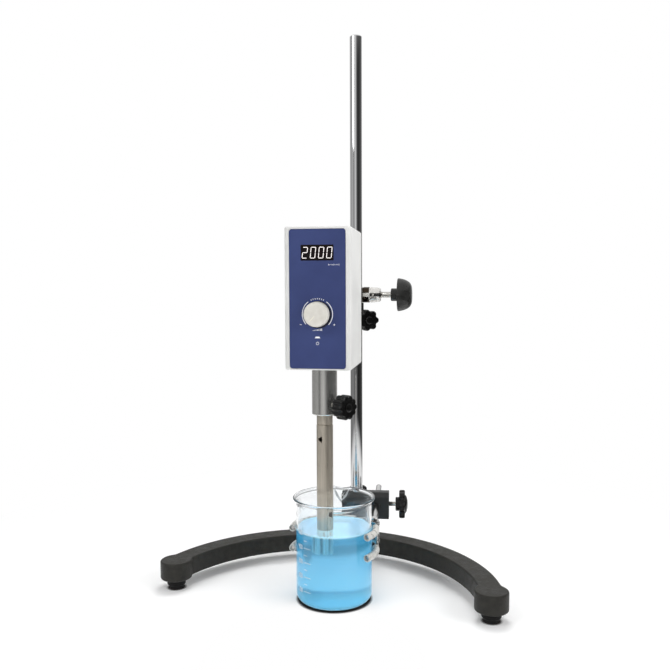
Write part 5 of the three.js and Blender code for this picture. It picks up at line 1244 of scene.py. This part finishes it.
def makeFloor():
    far, level = floorLook["reach"], floorLook["level"]
    mesh = bpy.data.meshes.new("studio_floor")
    mesh.from_pydata([(x, y, level) for x, y in rectangle(-far, -far, far, far)], [], [(0, 1, 2, 3)])
    floor = bpy.data.objects.new("studio_floor", mesh)
    bpy.context.scene.collection.objects.link(floor)
    finish = bpy.data.materials.new("studioFloor")
    finish.use_nodes = True
    tree = finish.node_tree
    tree.nodes.clear()
    where = addNode(tree, "ShaderNodeTexCoord").outputs["Object"]
    camera, glossy, through = raysOf(tree)
    away = distanceFrom(tree, where, fade["centre"])
    seen = mathsOf(tree, "MAXIMUM", mathsOf(tree, "MAXIMUM", camera, glossy), through)
    paint = addNode(tree, "ShaderNodeBsdfDiffuse", Color=srgb(*floorLook["colour"])).outputs[0]
    lift = addNode(tree, "ShaderNodeEmission", Strength=mathsOf(tree, "MULTIPLY", seen, floorLook["lift"]))
    painted = addNode(tree, "ShaderNodeAddShader", paint, lift.outputs[0]).outputs[0]
    white = addNode(tree, "ShaderNodeEmission", Strength=1.0).outputs[0]
    # it is plain white far away, through glass and in the painted bright pool in front
    share = mathsOf(tree, "MULTIPLY", eased(tree, away, fade["start"], fade["end"]), seen)
    share = mathsOf(tree, "MAXIMUM", share, mathsOf(tree, "MULTIPLY", through, floorLook["throughGlass"]))
    pooled = eased(tree, distanceFrom(tree, where, pool["centre"]), pool["start"], pool["end"], 1, 0)
    share = mathsOf(tree, "MAXIMUM", share, mathsOf(tree, "MULTIPLY", pooled, camera))
    surface = mixed(tree, share, painted, white)
    # painted contact shadow: camera rays see the floor dark where something stands right over it
    near = addNode(tree, "ShaderNodeAmbientOcclusion", samples=contact["samples"], Distance=contact["reach"])
    clear = eased(tree, near.outputs["AO"], contact["dark"], contact["clear"])
    share = mathsOf(tree, "MULTIPLY", mathsOf(tree, "SUBTRACT", 1, clear), camera)
    shade = addNode(tree, "ShaderNodeBsdfDiffuse", Color=srgb(*floorLook["contactShadowColour"])).outputs[0]
    surface = mixed(tree, share, surface, shade)
    # metal mirrors the bands on its far part
    share = mathsOf(tree, "MULTIPLY", eased(tree, away, fade["mirrorStart"], fade["mirrorEnd"]), glossy)
    glow = addNode(tree, "ShaderNodeEmission", Color=mirroredBands(tree, where),
                   Strength=light["mirroredFloor"])
    addNode(tree, "ShaderNodeOutputMaterial", Surface=mixed(tree, share, surface, glow.outputs[0]))
    mesh.materials.append(finish)


def makeWorld():
    # diffuse light is even, and metal mirrors the bands
    world = bpy.data.worlds.new("studio")
    bpy.context.scene.world = world
    world.use_nodes = True
    tree = world.node_tree
    tree.nodes.clear()

    def background(strength, colour=(1, 1, 1, 1)):
        return addNode(tree, "ShaderNodeBackground", Color=colour, Strength=strength).outputs[0]

    where = addNode(tree, "ShaderNodeTexCoord").outputs["Generated"]
    camera, glossy, through = raysOf(tree)
    height = addNode(tree, "ShaderNodeSeparateXYZ", Vector=where).outputs["Z"]
    steep = eased(tree, height, light["steepStart"], light["steepEnd"])
    mirrored = mixed(tree, steep, background(1.0, mirroredBands(tree, where)), background(light["ceiling"]))
    lighting = mixed(tree, glossy, background(light["world"]), mirrored)
    seen = mathsOf(tree, "MAXIMUM", camera, through)
    addNode(tree, "ShaderNodeOutputWorld", Surface=mixed(tree, seen, lighting, background(1.0)))


def addLamp(name, lamp):
    made = bpy.data.objects.new(name, bpy.data.lights.new(name, "AREA"))
    made.data.shape = "RECTANGLE"
    made.data.size = made.data.size_y = lamp["size"]
    made.data.energy = lamp["power"]
    made.visible_glossy = lamp["mirrored"]
    made.matrix_world = aimed(Vector(lamp["place"]) - Vector(lamp["target"]), lamp["place"])
    bpy.context.scene.collection.objects.link(made)


makeCamera()
makeFloor()
makeWorld()
for lampName, lamp in lamps.items():
    addLamp(lampName, lamp)
bpy.context.scene.view_settings.view_transform = "Standard"
print("camera, floor and light made")
